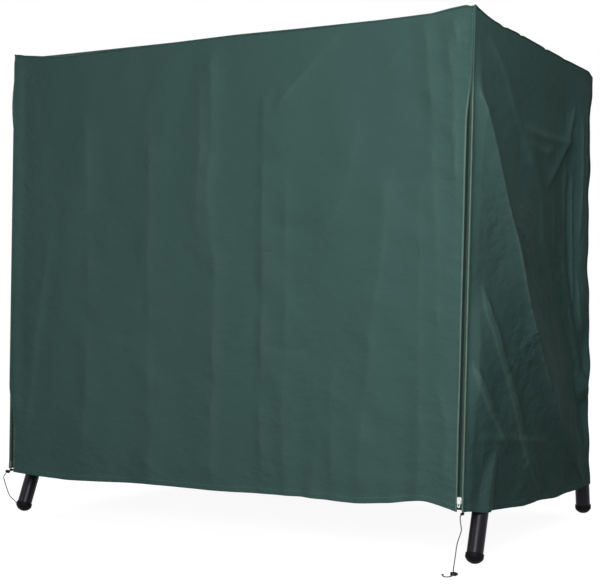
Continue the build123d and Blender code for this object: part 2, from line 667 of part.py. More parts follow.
canopy_radius = CANOPY_TUBE_DIAMETER / 2
canopy_build_up = CANOPY_FABRIC_THICKNESS + TOUCH_GAP + canopy_radius
canopy_front_z = roof_underside(canopy_front_y) - CANOPY_FRONT_HEADROOM - canopy_build_up
canopy_rear_z = roof_underside(canopy_rear_y) - CANOPY_REAR_HEADROOM - canopy_build_up
canopy_arm_outer = gusset_inner - TOUCH_GAP
canopy_arm_inner = canopy_arm_outer - CANOPY_ARM_THICKNESS
canopy_side_x = (canopy_arm_outer + canopy_arm_inner) / 2
canopy_back_reach = canopy_side_x + canopy_radius


parts["canopy_front_tube"] = tube(
    (-canopy_half_width, canopy_front_y, canopy_front_z),
    (canopy_half_width, canopy_front_y, canopy_front_z),
    CANOPY_TUBE_DIAMETER,
    CANOPY_TUBE_WALL,
)
parts["canopy_rear_tube"] = tube(
    (-canopy_back_reach, canopy_rear_y, canopy_rear_z),
    (canopy_back_reach, canopy_rear_y, canopy_rear_z),
    CANOPY_TUBE_DIAMETER,
    CANOPY_TUBE_WALL,
)
canopy_side_front = (canopy_side_x, canopy_front_y, canopy_front_z)
canopy_side_rear = (canopy_side_x, canopy_rear_y, canopy_rear_z)
canopy_side = tube(canopy_side_front, canopy_side_rear, CANOPY_TUBE_DIAMETER, CANOPY_TUBE_WALL)
weld_diameter = CANOPY_TUBE_DIAMETER + SLIP_FIT
for weld_y, weld_z in ((canopy_front_y, canopy_front_z), (canopy_rear_y, canopy_rear_z)):
    weld_point = (0.0, weld_y, weld_z)
    canopy_side = canopy_side - bar_x(weld_point, 0.0, canopy_half_width, weld_diameter)
parts["canopy_side_tubes"] = both_sides(canopy_side)

# Each arm is a flat bar, welded under a side tube and hung on the apex bracket's clamp bolt.
arm_fraction = (APEX_Y - canopy_front_y) / (canopy_rear_y - canopy_front_y)
arm_top = at_fraction(canopy_side_front, canopy_side_rear, arm_fraction).Z
canopy_arm = Pos(canopy_side_x, APEX_Y, canopy_pivot_height) * Box(
    CANOPY_ARM_THICKNESS,
    CANOPY_ARM_WIDTH,
    arm_top - canopy_pivot_height,
    align=from_end,
)
canopy_arm = canopy_arm + bar_x(canopy_pivot, canopy_arm_inner, canopy_arm_outer, CANOPY_ARM_WIDTH)
canopy_arm = canopy_arm - rod(canopy_side_front, canopy_side_rear, weld_diameter)
arm_bore = CANOPY_BOLT_DIAMETER + 2 * RUNNING_FIT
canopy_arm = canopy_arm - bar_x(canopy_pivot, canopy_arm_inner - 1, canopy_arm_outer + 1, arm_bore)
parts["canopy_arms"] = both_sides(canopy_arm.solids().sort_by(SortBy.VOLUME)[-1])

canopy_line = (Vector(*canopy_side_rear) - Vector(*canopy_side_front)).normalized()
canopy_normal = Vector(0, -canopy_line.Z, canopy_line.Y)
fabric_lift = canopy_normal * (canopy_radius + TOUCH_GAP)
fabric_front = Vector(*canopy_side_front) - canopy_line * CANOPY_FABRIC_FRONT_LAP + fabric_lift
fabric_rear = Vector(*canopy_side_rear) + canopy_line * CANOPY_FABRIC_REAR_LAP + fabric_lift
parts["canopy_fabric"] = flat_panel(
    [
        (-canopy_back_reach, fabric_front.Y, fabric_front.Z),
        (canopy_back_reach, fabric_front.Y, fabric_front.Z),
        (canopy_back_reach, fabric_rear.Y, fabric_rear.Z),
        (-canopy_back_reach, fabric_rear.Y, fabric_rear.Z),
    ],
    tuple(canopy_normal),
    CANOPY_FABRIC_THICKNESS,
)

# ---------------------------------------------------------------- canopy clamp bolts and knobs
knob_outer = canopy_arm_inner - TOUCH_GAP
knob_inner = knob_outer - KNOB_THICKNESS
clamp_bolt = bar_x(canopy_pivot, knob_inner - CANOPY_BOLT_TAIL, gusset_outer, CANOPY_BOLT_DIAMETER)
head_end = gusset_outer + CANOPY_BOLT_HEAD_HEIGHT
clamp_bolt_head = hex_x(canopy_pivot, gusset_outer, head_end, CANOPY_BOLT_HEAD_WIDTH)
parts["canopy_clamp_bolts"] = both_sides(clamp_bolt + clamp_bolt_head)

lobe_circle = KNOB_DIAMETER * KNOB_LOBE_SHARE
lobe_radius = KNOB_DIAMETER / 2 - lobe_circle
knob_face = Circle(lobe_circle)
for turn in range(KNOB_LOBES):
    angle = 2 * math.pi * turn / KNOB_LOBES
    knob_face += Pos(lobe_circle * math.cos(angle), lobe_circle * math.sin(angle)) * Circle(lobe_radius)
knob_face -= Circle(CANOPY_BOLT_DIAMETER / 2 + RUNNING_FIT)
knob_plane = Plane(origin=(knob_outer, APEX_Y, canopy_pivot_height), z_dir=(-1, 0, 0))
keep_pair("clamp_knob", knob_plane * extrude(knob_face, amount=KNOB_THICKNESS))

# ---------------------------------------------------------------- weather cover: corner points
top_front = (cover_top_half_width, cover_top_front_y, cover_front_height)
top_rear = (cover_top_half_width, cover_top_rear_y, cover_rear_height)
hem_front = (front_hem_half_width, front_hem_y, FRONT_HEM_HEIGHT)
hem_rear = (rear_hem_half_width, rear_hem_y, REAR_HEM_HEIGHT)


def hem_point(y, outside=None):
    """Point on the side hem at a depth, pushed out to a given X where one is given."""
    place = at_fraction(hem_front, hem_rear, (y - front_hem_y) / (rear_hem_y - front_hem_y))
    return (place.X if outside is None else outside, place.Y, place.Z)


leg_at_hem = at_height(front_foot, apex, FRONT_HEM_HEIGHT)
bulge_start_y = leg_at_hem.Y - leg_radius - LEG_BULGE_LEAD
bulge_end_y = leg_at_hem.Y + leg_radius + LEG_BULGE_TRAIL
bulge_x = leg_at_hem.X + leg_radius + LEG_EASE
bulge_start = hem_point(bulge_start_y, bulge_x)
bulge_end = hem_point(bulge_end_y, bulge_x)


def other_side(point):
    return (-point[0], point[1], point[2])


# ---------------------------------------------------------------- weather cover: panels
# The side panels fan out from the top front corner: the cloth is drawn round each front leg at
# the hem and lies flat against the stand everywhere else.
roof_corners = [other_side(top_front), top_front, top_rear, other_side(top_rear)]
roof = flat_panel(roof_corners, (0, 0, -1), FABRIC_THICKNESS)
parts["cover_roof"] = roof
back_corners = [other_side(top_rear), top_rear, hem_rear, other_side(hem_rear)]
back_panel = flat_panel(back_corners, (0, -1, 0), FABRIC_THICKNESS)
back_panel = back_panel - roof
parts["cover_back"] = back_panel

side_panel = None
for facet in (
    (top_front, hem_front, bulge_start),
    (top_front, bulge_start, bulge_end),
    (top_front, bulge_end, hem_rear),
    (top_front, hem_rear, top_rear),
):
    leaf = flat_panel(facet, (-1, 0, 0), FABRIC_THICKNESS)
    side_panel = leaf if side_panel is None else side_panel + leaf
side_panel = side_panel - roof - back_panel
keep_pair("cover_side", side_panel)

# ---------------------------------------------------------------- zips at the two front corners
# Offsets are measured along X from the corner line, inside the front face.
rise = cover_front_height - FRONT_HEM_HEIGHT
setback = cover_top_front_y - front_hem_y
front_outward = Vector(0, -rise, setback).normalized()
front_inward = front_outward * -1
zip_line = (Vector(*top_front) - Vector(*hem_front)).normalized()


def corner_point(height, offset, depth=0.0):
    """Point near the right front corner: height, X offset inwards, and depth outside the face."""
    place = at_height(hem_front, top_front, height)
    return Vector(place.X - offset, place.Y, place.Z) + front_outward * depth


side_tape_start = FABRIC_THICKNESS
side_tape_end = side_tape_start + ZIP_TAPE_WIDTH
front_tape_start = side_tape_end + ZIP_SLOT
front_tape_end = front_tape_start + ZIP_TAPE_WIDTH
slot_middle = side_tape_end + ZIP_SLOT / 2
flap_top = cover_front_height - FABRIC_THICKNESS - FLAP_GAP
zip_bottom = FRONT_HEM_HEIGHT + ZIP_END_ABOVE_HEM


def front_strip(start_offset, end_offset, bottom, top, thickness):
    corners = [
        corner_point(top, start_offset),
        corner_point(top, end_offset),
        corner_point(bottom, end_offset),
        corner_point(bottom, start_offset),
    ]
    return flat_panel(corners, tuple(front_inward), thickness)


side_tape = front_strip(side_tape_start, side_tape_end, zip_bottom, flap_top, ZIP_TAPE_THICKNESS)
front_tape = front_strip(front_tape_start, front_tape_end, zip_bottom, flap_top, ZIP_TAPE_THICKNESS)
parts["side_zip_tapes"] = both_sides(side_tape - side_panel)
parts["front_zip_tapes"] = both_sides(front_tape)

flap_corners = [
    other_side(tuple(corner_point(flap_top, front_tape_end))),
    tuple(corner_point(flap_top, front_tape_end)),
    tuple(corner_point(FRONT_HEM_HEIGHT, front_tape_end)),
    other_side(tuple(corner_point(FRONT_HEM_HEIGHT, front_tape_end))),
]
parts["cover_front"] = flat_panel(flap_corners, tuple(front_inward), FABRIC_THICKNESS)


# ---------------------------------------------------------------- zip sliders and pull tabs
def in_zip_frame(piece, height):
    """Place a piece drawn with X along the face, Y into the face and Z up the zip."""
    across = zip_line.cross(front_outward)
    return Plane(origin=corner_point(height, slot_middle), x_dir=across, z_dir=zip_line) * piece


plate_gap_front = SLIDER_CLEARANCE
plate_gap_back = ZIP_TAPE_THICKNESS + SLIDER_CLEARANCE
pin_depth = SLIDER_CLEARANCE + SLIDER_PLATE + PULL_PIN_DIAMETER + PULL_PLATE_GAP
pin_height = SLIDER_HEIGHT / 2 - PIN_BELOW_TOP
lug_front = pin_depth + PULL_PIN_DIAMETER / 2 + LUG_MARGIN
lug_back = SLIDER_CLEARANCE + SLIDER_PLATE / 2
shoulder = math.hypot(lug_front - pin_depth, LUG_HEIGHT / 2) + PULL_SHOULDER_GAP


def slider_body():
    """Two plates joined by a web that runs between the tapes, with a pin held by two lugs."""
    body = None
    for middle in (-plate_gap_front - SLIDER_PLATE / 2, plate_gap_back + SLIDER_PLATE / 2):
        plate = Pos(0, middle, 0) * Box(SLIDER_WIDTH, SLIDER_PLATE, SLIDER_HEIGHT)
        plate = fillet(plate.edges().filter_by(Axis.Y), SLIDER_ROUNDING)
        body = plate if body is None else body + plate
    web_middle = (plate_gap_back - plate_gap_front) / 2
    web_depth = plate_gap_front + plate_gap_back
    web = Box(SLIDER_WEB, web_depth, SLIDER_HEIGHT - SLIDER_WEB_SHORTER)
    body = body + Pos(0, web_middle, 0) * web
    lug = Box(LUG_OUTER - LUG_INNER, lug_front - lug_back, LUG_HEIGHT)
    for side in (-1, 1):
        lug_x = side * (LUG_INNER + LUG_OUTER) / 2
        body = body + Pos(lug_x, -(lug_front + lug_back) / 2, pin_height) * lug
    pin = Rot(0, 90, 0) * Cylinder(PULL_PIN_DIAMETER / 2, LUG_INNER + LUG_OUTER)
    return body + Pos(0, -pin_depth, pin_height) * pin


def pull_tab():
    """Flat tab with a window, hung by a narrow neck on the slider's pin."""
    down = (Align.CENTER, Align.CENTER, Align.MAX)
    neck_width = 2 * (LUG_INNER - SLIDER_CLEARANCE)
    tab = Pos(0, 0, -shoulder) * Box(PULL_WIDTH, PULL_THICKNESS, PULL_LENGTH - shoulder, align=down)
    tab = fillet(tab.edges().filter_by(Axis.Y), PULL_ROUNDING)
    window_width, window_height = PULL_WINDOW
    window = Box(window_width, 2 * PULL_THICKNESS, window_height, align=down)
    tab = tab - Pos(0, 0, -PULL_LENGTH + PULL_WINDOW_MARGIN + window_height) * window
    tab = tab + Box(neck_width, PULL_THICKNESS, PULL_NECK_LENGTH, align=down)
    tab = tab + Rot(0, 90, 0) * Cylinder(PULL_PIN_DIAMETER, neck_width)
    bore = Rot(0, 90, 0) * Cylinder(PULL_PIN_DIAMETER / 2 + RUNNING_FIT, PULL_WIDTH)
    return Pos(0, -pin_depth, pin_height) * (tab - bore)


for side_name in ("right", "left"):
    rest_height = SLIDER_REST_HEIGHT[side_name]
    placed_slider = in_zip_frame(slider_body(), rest_height)
    placed_pull = in_zip_frame(pull_tab(), rest_height)
    if side_name == "left":
        placed_slider = mirror(placed_slider, about=Plane.YZ)
        placed_pull = mirror(placed_pull, about=Plane.YZ)
    parts["zip_slider_" + side_name] = placed_slider
    parts["zip_pull_" + side_name] = placed_pull

# ---------------------------------------------------------------- hem mouths
# The hem is rolled into a channel for the drawcord. Its two open front ends are pieces of their
# own here, and each cord starts against the closed back of its mouth.
mouth_diameter = CORD_BORE + 2 * HEM_MOUTH_WALL
mouth_offset = FABRIC_THICKNESS + mouth_diameter / 2 + TOUCH_GAP
mouth_front = corner_point(FRONT_HEM_HEIGHT + HEM_MOUTH_RISE, mouth_offset, -HEM_MOUTH_DEPTH)
mouth_back = mouth_front + Vector(0, HEM_MOUTH_LENGTH, 0)
cord_start = mouth_back - Vector(0, HEM_MOUTH_BACK_WALL, 0)
cord_exit = mouth_front - Vector(0, CORD_EXIT_RUN, 0)
mouth = rod(mouth_front, mouth_back, mouth_diameter) - rod(mouth_front, cord_start, CORD_BORE)
parts["hem_mouths"] = both_sides(mouth)

# ---------------------------------------------------------------- drawcords
# Route points are chosen by hand. Each bend's radius takes up as much of its shorter run as it can.
right_route = [
    tuple(cord_start),
    tuple(cord_exit),
    (1002, -657, 170),
    (1009, -667, 151),
    (1018, -678, 132),
    (1015, -690, 112),
    (1012, -702, 90),
    (1014, -715, 62),
    (1017, -730, 37),
    (1018.5, -742, 16),
    (1024, -752, 7),
    (1035, -778, 7),
    (1034, -791.5, 4),
    (1022, -799, 2.5),
    (1009, -797, 2.4),
    (1002, -786, 2.4),
]
left_route = [
    other_side(tuple(cord_start)),
    other_side(tuple(cord_exit)),
    (-1004, -657, 168),
    (-1012, -664, 152),
    (-1017, -652, 137),
    (-1027, -638, 122),
    (-1041, -615, 101),
    (-1053, -592, 75),
    (-1059, -573, 55),
    (-1060, -552, 40),
    (-1066, -530, 24),
    (-1071, -511, 10),
    (-1068, -495, 3),
    (-1057, -484, 2.4),
]


def route_radii(name, route):
    """Bend radius at each inner point, printed with the route's runs."""
    points = [Vector(*p) for p in route]
    radii = []
    for before, here, after in zip(points, points[1:], points[2:]):
        turn = math.radians((here - before).get_angle(after - here))
        shorter = min((here - before).length, (after - here).length)
        radii.append(BEND_SHARE * shorter / math.tan(turn / 2))
    runs = [round((b - a).length, 1) for a, b in zip(points, points[1:])]
    print(name, "runs", runs, "radii", [round(r, 1) for r in radii])
    return radii


def straight_middle(route, first):
    """Middle of the straight stretch that the bends leave on the run from one point to the next."""
    before, start, end, after = [Vector(*p) for p in route[first - 1 : first + 3]]
    run = (end - start).length
    bend_in = BEND_SHARE * min((start - before).length, run)
    bend_out = BEND_SHARE * min((after - end).length, run)
    return start + (end - start).normalized() * ((bend_in + run - bend_out) / 2)


def run_direction(route, first):
    return (Vector(*route[first + 1]) - Vector(*route[first])).normalized()


def drawcord(name, route):
    """Round cord along a route, ending in a small overhand knot."""
    path = FilletPolyline(*route, radius=route_radii(name, route))
    start_plane = Plane(origin=route[0], z_dir=Vector(*route[1]) - Vector(*route[0]))
    cord = sweep(start_plane * Circle(CORD_DIAMETER / 2), path=path)
    expected = math.pi * (CORD_DIAMETER / 2) ** 2 * path.length
    print(name, "length", round(path.length, 1), "volume ratio", round(cord.volume / expected, 4))
    end = Vector(*route[-1]) + Vector(0, 0, (KNOT_DIAMETER - CORD_DIAMETER) / 2)
    return cord + Pos(*end) * Sphere(KNOT_DIAMETER / 2)


parts["drawcord_right"] = drawcord("drawcord_right", right_route)
parts["drawcord_left"] = drawcord("drawcord_left", left_route)


# ---------------------------------------------------------------- cord locks
def cord_lock(frame):
    """Barrel and press button. The frame's Z is the barrel's axis, its X the cord's way through."""
    half = LOCK_LENGTH / 2
    bore_radius = BUTTON_DIAMETER / 2 + SLIP_FIT
    barrel_radius = bore_radius + LOCK_WALL
    barrel = fillet(Cylinder(barrel_radius, LOCK_LENGTH).edges(), LOCK_ROUNDING)
    button_bore = Cylinder(bore_radius, LOCK_LENGTH, align=from_end)
    cross_hole = Rot(0, 90, 0) * Cylinder(LOCK_HOLE / 2, 4 * barrel_radius)
    barrel = barrel - Pos(0, 0, LOCK_END_WALL - half) * button_bore - cross_hole
    button = Cylinder(BUTTON_DIAMETER / 2, BUTTON_LENGTH, align=from_end)
    button = Pos(0, 0, half + BUTTON_STAND_OUT - BUTTON_LENGTH) * button
    slot = Pos(0, 0, BUTTON_TRAVEL / 2) * Box(4 * barrel_radius, LOCK_HOLE, BUTTON_TRAVEL)
    for slot_end in (0.0, BUTTON_TRAVEL):
        slot = slot + Pos(0, 0, slot_end) * cross_hole
    return frame * barrel, frame * (button - slot)


for side_name, route, outward in (("right", right_route, 1), ("left", left_route, -1)):
    cord_way = run_direction(route, LOCK_RUN[side_name])
    barrel_way = Vector(-cord_way.Y, cord_way.X, 0).normalized()
    barrel_way = barrel_way * (outward if barrel_way.X > 0 else -outward)
    lock_middle = straight_middle(route, LOCK_RUN[side_name])
    lock_frame = Plane(origin=lock_middle, x_dir=cord_way, z_dir=barrel_way)
    parts["cord_lock_" + side_name], parts["lock_button_" + side_name] = cord_lock(lock_frame)
    print("lock", side_name, tuple(lock_frame.origin), "button way", tuple(lock_frame.z_dir))

# ---------------------------------------------------------------- files
os.makedirs("parts", exist_ok=True)
for name, shape in parts.items():
    export_step(shape, f"parts/{name}.step")
print(len(parts), "nodes")
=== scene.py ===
import math

import bpy
import numpy as np
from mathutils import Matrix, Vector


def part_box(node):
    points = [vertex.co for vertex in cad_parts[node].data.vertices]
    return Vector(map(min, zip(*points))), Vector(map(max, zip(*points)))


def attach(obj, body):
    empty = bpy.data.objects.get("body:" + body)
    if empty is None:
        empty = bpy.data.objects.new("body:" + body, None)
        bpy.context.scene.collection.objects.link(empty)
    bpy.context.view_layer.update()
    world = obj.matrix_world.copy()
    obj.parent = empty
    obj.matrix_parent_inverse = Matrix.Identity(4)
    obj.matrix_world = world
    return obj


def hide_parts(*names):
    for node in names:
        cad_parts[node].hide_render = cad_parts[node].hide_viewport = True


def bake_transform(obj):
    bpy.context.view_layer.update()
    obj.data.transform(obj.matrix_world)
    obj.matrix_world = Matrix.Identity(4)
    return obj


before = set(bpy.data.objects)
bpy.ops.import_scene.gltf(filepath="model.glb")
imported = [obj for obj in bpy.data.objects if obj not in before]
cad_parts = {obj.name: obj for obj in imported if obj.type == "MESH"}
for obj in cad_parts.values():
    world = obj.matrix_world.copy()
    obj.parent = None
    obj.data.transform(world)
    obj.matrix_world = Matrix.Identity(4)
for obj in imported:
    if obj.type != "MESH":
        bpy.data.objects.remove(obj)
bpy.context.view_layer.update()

# ---------------------------------------------------------------- viewpoint
# A short telephoto lens at chest height, three metres to the right of the
# swing and five in front of it, tipped down by less than a degree.
scene = bpy.context.scene
lens = bpy.data.cameras.new("viewpoint")
lens.sensor_width = 36.0
lens.lens = 85.37


def add_object(name, data):
    """A new object of the scene that shows this mesh, curve, lamp or camera."""
    piece = bpy.data.objects.new(name, data)
    scene.collection.objects.link(piece)
    return piece


viewpoint = add_object("viewpoint", lens)
viewpoint.location = (3.004, -4.886, 0.972)
viewpoint.rotation_euler = (math.radians(89.218), 0.0, math.radians(31.765))
scene.camera = viewpoint
scene.view_settings.view_transform = "Standard"


# -------------------------------------------------------------- drawcords
# Two limp braided polyester cords, 3.5 mm thick, come out of the front hem's
# mouths. The right one hangs to the floor and curls there. The left one drops
# behind the left foot. Each ends in a small overhand knot.
CORD_DIAMETER = 0.0035
MOUTH_X, MOUTH_Y, MOUTH_Z = 0.998057, -0.627286, 0.176946
RIGHT_ROUTE = [
    (MOUTH_X, MOUTH_Y, MOUTH_Z), (MOUTH_X, -0.642986, MOUTH_Z),
    (1.002, -0.657, 0.170), (1.009, -0.667, 0.151), (1.018, -0.678, 0.132),
    (1.015, -0.690, 0.112), (1.012, -0.702, 0.090), (1.014, -0.715, 0.062),
    (1.017, -0.730, 0.037), (1.0185, -0.742, 0.016), (1.024, -0.752, 0.007),
    (1.035, -0.778, 0.007), (1.034, -0.7915, 0.004), (1.022, -0.799, 0.0025),
    (1.009, -0.797, 0.0024), (1.002, -0.786, 0.0024)]
LEFT_ROUTE = [
    (-MOUTH_X, MOUTH_Y, MOUTH_Z), (-MOUTH_X, -0.642986, MOUTH_Z),
    (-1.004, -0.657, 0.168), (-1.012, -0.664, 0.152), (-1.017, -0.652, 0.137),
    (-1.027, -0.638, 0.122), (-1.041, -0.615, 0.101), (-1.053, -0.592, 0.075),
    (-1.059, -0.573, 0.055), (-1.060, -0.552, 0.040), (-1.066, -0.530, 0.024),
    (-1.071, -0.511, 0.010), (-1.068, -0.495, 0.003), (-1.057, -0.484, 0.0024)]


class Wire:
    """A shader socket that can be written in sums: its operators add Math nodes."""

    def __init__(self, tree, socket=None):
        self.tree, self.socket = tree, socket

    def add(self, kind, settings=None, inputs=None, output=0):
        """A new node: its settings are set first, then its inputs are joined or set."""
        node = self.tree.nodes.new(kind)
        for name, value in (settings or {}).items():
            setattr(node, name, value)
        for name, value in (inputs or {}).items():
            if isinstance(value, Wire):
                self.tree.links.new(value.socket, node.inputs[name])
            else:
                node.inputs[name].default_value = value
        return Wire(self.tree, node.outputs[output])

    def maths(self, operation, *values):
        """A Math node for this operation on these values."""
        return self.add("ShaderNodeMath", {"operation": operation}, dict(enumerate(values)))

    def __add__(self, other):
        return self.maths("ADD", self, other)

    __radd__ = __add__

    def __sub__(self, other):
        return self.maths("SUBTRACT", self, other)

    def __rsub__(self, other):
        return self.maths("SUBTRACT", other, self)

    def __mul__(self, other):
        return self.maths("MULTIPLY", self, other)

    __rmul__ = __mul__

    def sine(self):
        return self.maths("SINE", self)

    def place(self, kind="Object"):
        """Where a point lies on the object or, as "UV", on the cloth's own flat map."""
        return self.add("ShaderNodeTexCoord", output=kind)

    def split(self):
        """The three numbers of a place, one wire each."""
        parts = self.add("ShaderNodeSeparateXYZ", {}, {"Vector": self})
        return [Wire(self.tree, number) for number in parts.socket.node.outputs]

    def step(self, low, high):
        """0 below low, 1 above high, and a smooth rise between them."""
        return self.add("ShaderNodeMapRange", {"interpolation_type": "SMOOTHSTEP"},
                        {"Value": self, "From Min": low, "From Max": high})

    def colour(self, low, high):
        """A mix of two colours by this value."""
        low, high = (end if isinstance(end, Wire) else (*end, 1.0) for end in (low, high))
        return self.add("ShaderNodeMix", {"data_type": "RGBA"}, {"Factor": self, "A": low, "B": high}, 2)

    def noise(self, scale, detail=2.0, stretch=(1.0, 1.0, 1.0)):
        """Soft noise on these coordinates, with its grain stretched along an axis."""
        spread = self.add("ShaderNodeMapping", {}, {"Vector": self, "Scale": stretch})
        return self.add("ShaderNodeTexNoise", {},
                        {"Vector": spread, "Scale": scale, "Detail": detail})

    def bump(self):
        """A normal tilted as this height in metres rises and falls."""
        return self.add("ShaderNodeBump", {}, {"Height": self, "Strength": 1.0, "Distance": 1.0})


def empty_tree(owner):
    """The node tree of a new material or world, with nothing in it."""
    owner.use_nodes = True
    owner.node_tree.nodes.clear()
    return Wire(owner.node_tree)


def finish_tree(wires, shader, kind="ShaderNodeOutputMaterial"):
    """Joins the last shader to the tree's output node."""
    wires.tree.links.new(shader.socket, wires.tree.nodes.new(kind).inputs["Surface"])


def finish_of(name, paint, **fixed):
    """A material whose shader takes fixed numbers on its own sockets and what paint()
    returns, a dict of socket name to Wire, for what changes over the surface."""
    material = bpy.data.materials.new(name)
    wires = empty_tree(material)
    fixed = {socket.replace("_", " "): value for socket, value in fixed.items()}
    finish_tree(wires, wires.add("ShaderNodeBsdfPrincipled", {}, {**fixed, **paint(wires)}))
    return material


YARN_ALONG, YARN_AROUND = 1150.0, 25.13


def braid_paint(tree):
    """Strands cross at a slant round the cord: two slanting sine waves, the higher one
    on top, in near-black yarn that is painted greyer where it stands proud, a painted highlight on the
    raised strands."""
    along, around, _ = tree.place("UV").split()
    slant = (along * YARN_ALONG + around * YARN_AROUND).sine()
    other = (along * YARN_ALONG - around * YARN_AROUND).sine()
    strand = slant.maths("MAXIMUM", slant, other) * 0.5 + 0.5
    # the raised strands are painted greyer: painted highlight
    return {"Base Color": strand.colour((0.012, 0.014, 0.014), (0.075, 0.078, 0.076)),
            "Roughness": 0.9 - strand * 0.25,
            "Normal": (strand * 0.0003).bump()}


cord_braid = finish_of("cord_braid", braid_paint, Specular_IOR_Level=0.35)


def soft_curve(name, points, thickness, closed=False, fineness=(4, 12)):
    """One smooth spline with these control points, open or closed, and a round section.
    fineness is how finely the section and the run are cut."""
    curve = bpy.data.curves.new(name, "CURVE")
    curve.dimensions = "3D"
    curve.bevel_depth = thickness / 2
    curve.bevel_resolution = fineness[0]
    curve.use_fill_caps = not closed
    spline = curve.splines.new("NURBS")
    spline.points.add(len(points) - 1)
    spline.points.foreach_set("co", np.c_[np.array(points), np.ones(len(points))].ravel())
    spline.order_u = 3
    spline.use_endpoint_u = not closed
    spline.use_cyclic_u = closed
    spline.resolution_u = fineness[1]
    return add_object(name, curve)


def overhand(centre, size, turn):
    """A pulled-tight overhand knot: a trefoil, (sin t + 2 sin 2t, cos t - 2 cos 2t,
    -sin 3t), shrunk to size and turned about the upright."""
    t = np.linspace(0.35, 2 * math.pi - 0.1, 30)
    loop = np.stack([np.sin(t) + 2 * np.sin(2 * t), np.cos(t) - 2 * np.cos(2 * t),
                     -1.25 * np.sin(3 * t)], -1) * size / 3
    c, s = math.cos(turn), math.sin(turn)
    return loop @ np.array([[c, s, 0], [-s, c, 0], [0, 0, 1]]) + centre


KNOT_THICKNESS, KNOT_SIZE = 0.0030, 0.0030
KNOT_AHEAD, KNOT_RAISE = 0.0028, 0.0021
for hand, route, length, turn in (("right", RIGHT_ROUTE, 0.304, 0.4), ("left", LEFT_ROUTE, 0.302, 2.1)):
    cord = soft_curve("drawcord_" + hand + "_braid", route, CORD_DIAMETER)
    last, before = np.array(route[-1]), np.array(route[-2])
    way = (last - before) / np.linalg.norm(last - before)
    centre = last + way * KNOT_AHEAD + (0, 0, KNOT_RAISE)
    knot = soft_curve("drawcord_" + hand + "_knot", overhand(centre, KNOT_SIZE, turn), KNOT_THICKNESS)
    for piece in (cord, knot):
        piece.data.materials.append(cord_braid)
        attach(piece, "cover")
    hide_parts("drawcord_" + hand)
    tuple(route[0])
    "cord_lock_" + hand
    "lock_button_" + hand


# ----------------------------------------------------------- floor and light
# A pale floor that fades into a white studio. Three soft lamps stand in front
# and on the right, one high behind and one at the left, under a faint even sky.
FLOOR_HALF, FLOOR_Z = 40.0, -0.0005
FLOOR_GREY = 0.16
GLOW_NEAR, GLOW_GAIN, GLOW_FROM, GLOW_TO = 0.94, 0.08, 0.9, 2.6
SKY_LEVEL = 0.04


def looked_at(wires):
    """1 for rays from the camera, a reflection or clear matter, 0 for the light itself."""
    rays = wires.add("ShaderNodeLightPath")
    outputs = rays.socket.node.outputs
    seen = rays + Wire(wires.tree, outputs["Is Glossy Ray"])
    seen = seen + Wire(wires.tree, outputs["Is Transmission Ray"])
    return seen.maths("MINIMUM", seen, 1.0)


floor_mesh = bpy.data.meshes.new("floor")
floor_mesh.from_pydata([(FLOOR_HALF * a, FLOOR_HALF * b, FLOOR_Z)
                        for a, b in ((-1, -1), (1, -1), (1, 1), (-1, 1))], [], [(0, 1, 2, 3)])
floor_white = bpy.data.materials.new("floor_white")
wires = empty_tree(floor_white)
far = wires.add("ShaderNodeVectorMath", {"operation": "LENGTH"}, {0: wires.place()}, "Value")
glow = (far.step(GLOW_FROM, GLOW_TO) * GLOW_GAIN + GLOW_NEAR) * looked_at(wires)
matt = wires.add("ShaderNodeBsdfDiffuse", {}, {"Color": (FLOOR_GREY, FLOOR_GREY, FLOOR_GREY, 1.0)})
shine = wires.add("ShaderNodeEmission", {}, {"Color": glow.colour((0, 0, 0), (1, 1, 1))})
finish_tree(wires, wires.add("ShaderNodeAddShader", {}, {0: matt, 1: shine}))
floor_mesh.materials.append(floor_white)
add_object("floor", floor_mesh)

scene.world = bpy.data.worlds.new("studio")
wires = empty_tree(scene.world)
level = wires.add("ShaderNodeBackground", {}, {"Color": (1, 1, 1, 1), "Strength": SKY_LEVEL})
white = wires.add("ShaderNodeBackground", {}, {"Color": (1, 1, 1, 1), "Strength": 1.0})
sky = wires.add("ShaderNodeMixShader", {}, {0: looked_at(wires), 1: level, 2: white})
finish_tree(wires, sky, "ShaderNodeOutputWorld")


def soft_lamp(name, place, target, size, power):
    """A square area lamp at a place, turned to face a target."""
    lamp = bpy.data.lights.new(name, "AREA")
    lamp.shape = "SQUARE"
    lamp.size = size
    lamp.energy = power
    piece = add_object(name, lamp)
    piece.location = place
    way = np.array(target) - np.array(place)
    piece.rotation_euler = (math.atan2(math.hypot(way[0], way[1]), -way[2]), 0.0,
                            math.atan2(-way[0], way[1]))


soft_lamp("lamp_front_right", (2.1, -3.9, 1.75), (0.25, 0.0, 0.9), 1.5, 147.0)
soft_lamp("lamp_front_left", (-2.6, -4.6, 1.8), (-0.4, -0.6, 0.9), 1.5, 32.0)
soft_lamp("lamp_right_high", (2.0, -1.3, 3.2), (1.0, -0.1, 1.5), 0.9, 19.0)
soft_lamp("lamp_behind", (-1.5, 4.5, 3.2), (0.0, 0.0, 1.0), 2.4, 170.0)
soft_lamp("lamp_left", (-4.0, 1.2, 3.0), (-1.0, 0.1, 1.0), 2.0, 70.0)


# ------------------------------------------------------------ stand tubes
# Steel tubes in satin black powder coat: two pairs of raked legs, the top bar,
# side and rear stretchers and the gusset plates over the apex sockets. The
# bench's and canopy's tubes carry the same coat.
def coat_paint(tree):
    """Orange peel a millimetre or so across, slow changes of gloss, and dull dust."""
    place = tree.place()
    peel = place.noise(900.0, 1.0)
    slow = place.noise(9.0, 3.0)
    dust = place.noise(60.0, 4.0)
    tone = (slow * 0.7 + dust * 0.3).colour((0.004, 0.004, 0.006), (0.009, 0.0084, 0.013))
    return {"Base Color": tone,
            "Roughness": 0.27 + slow * 0.12 + dust * 0.05,
            "Normal": (peel * 0.00006).bump()}


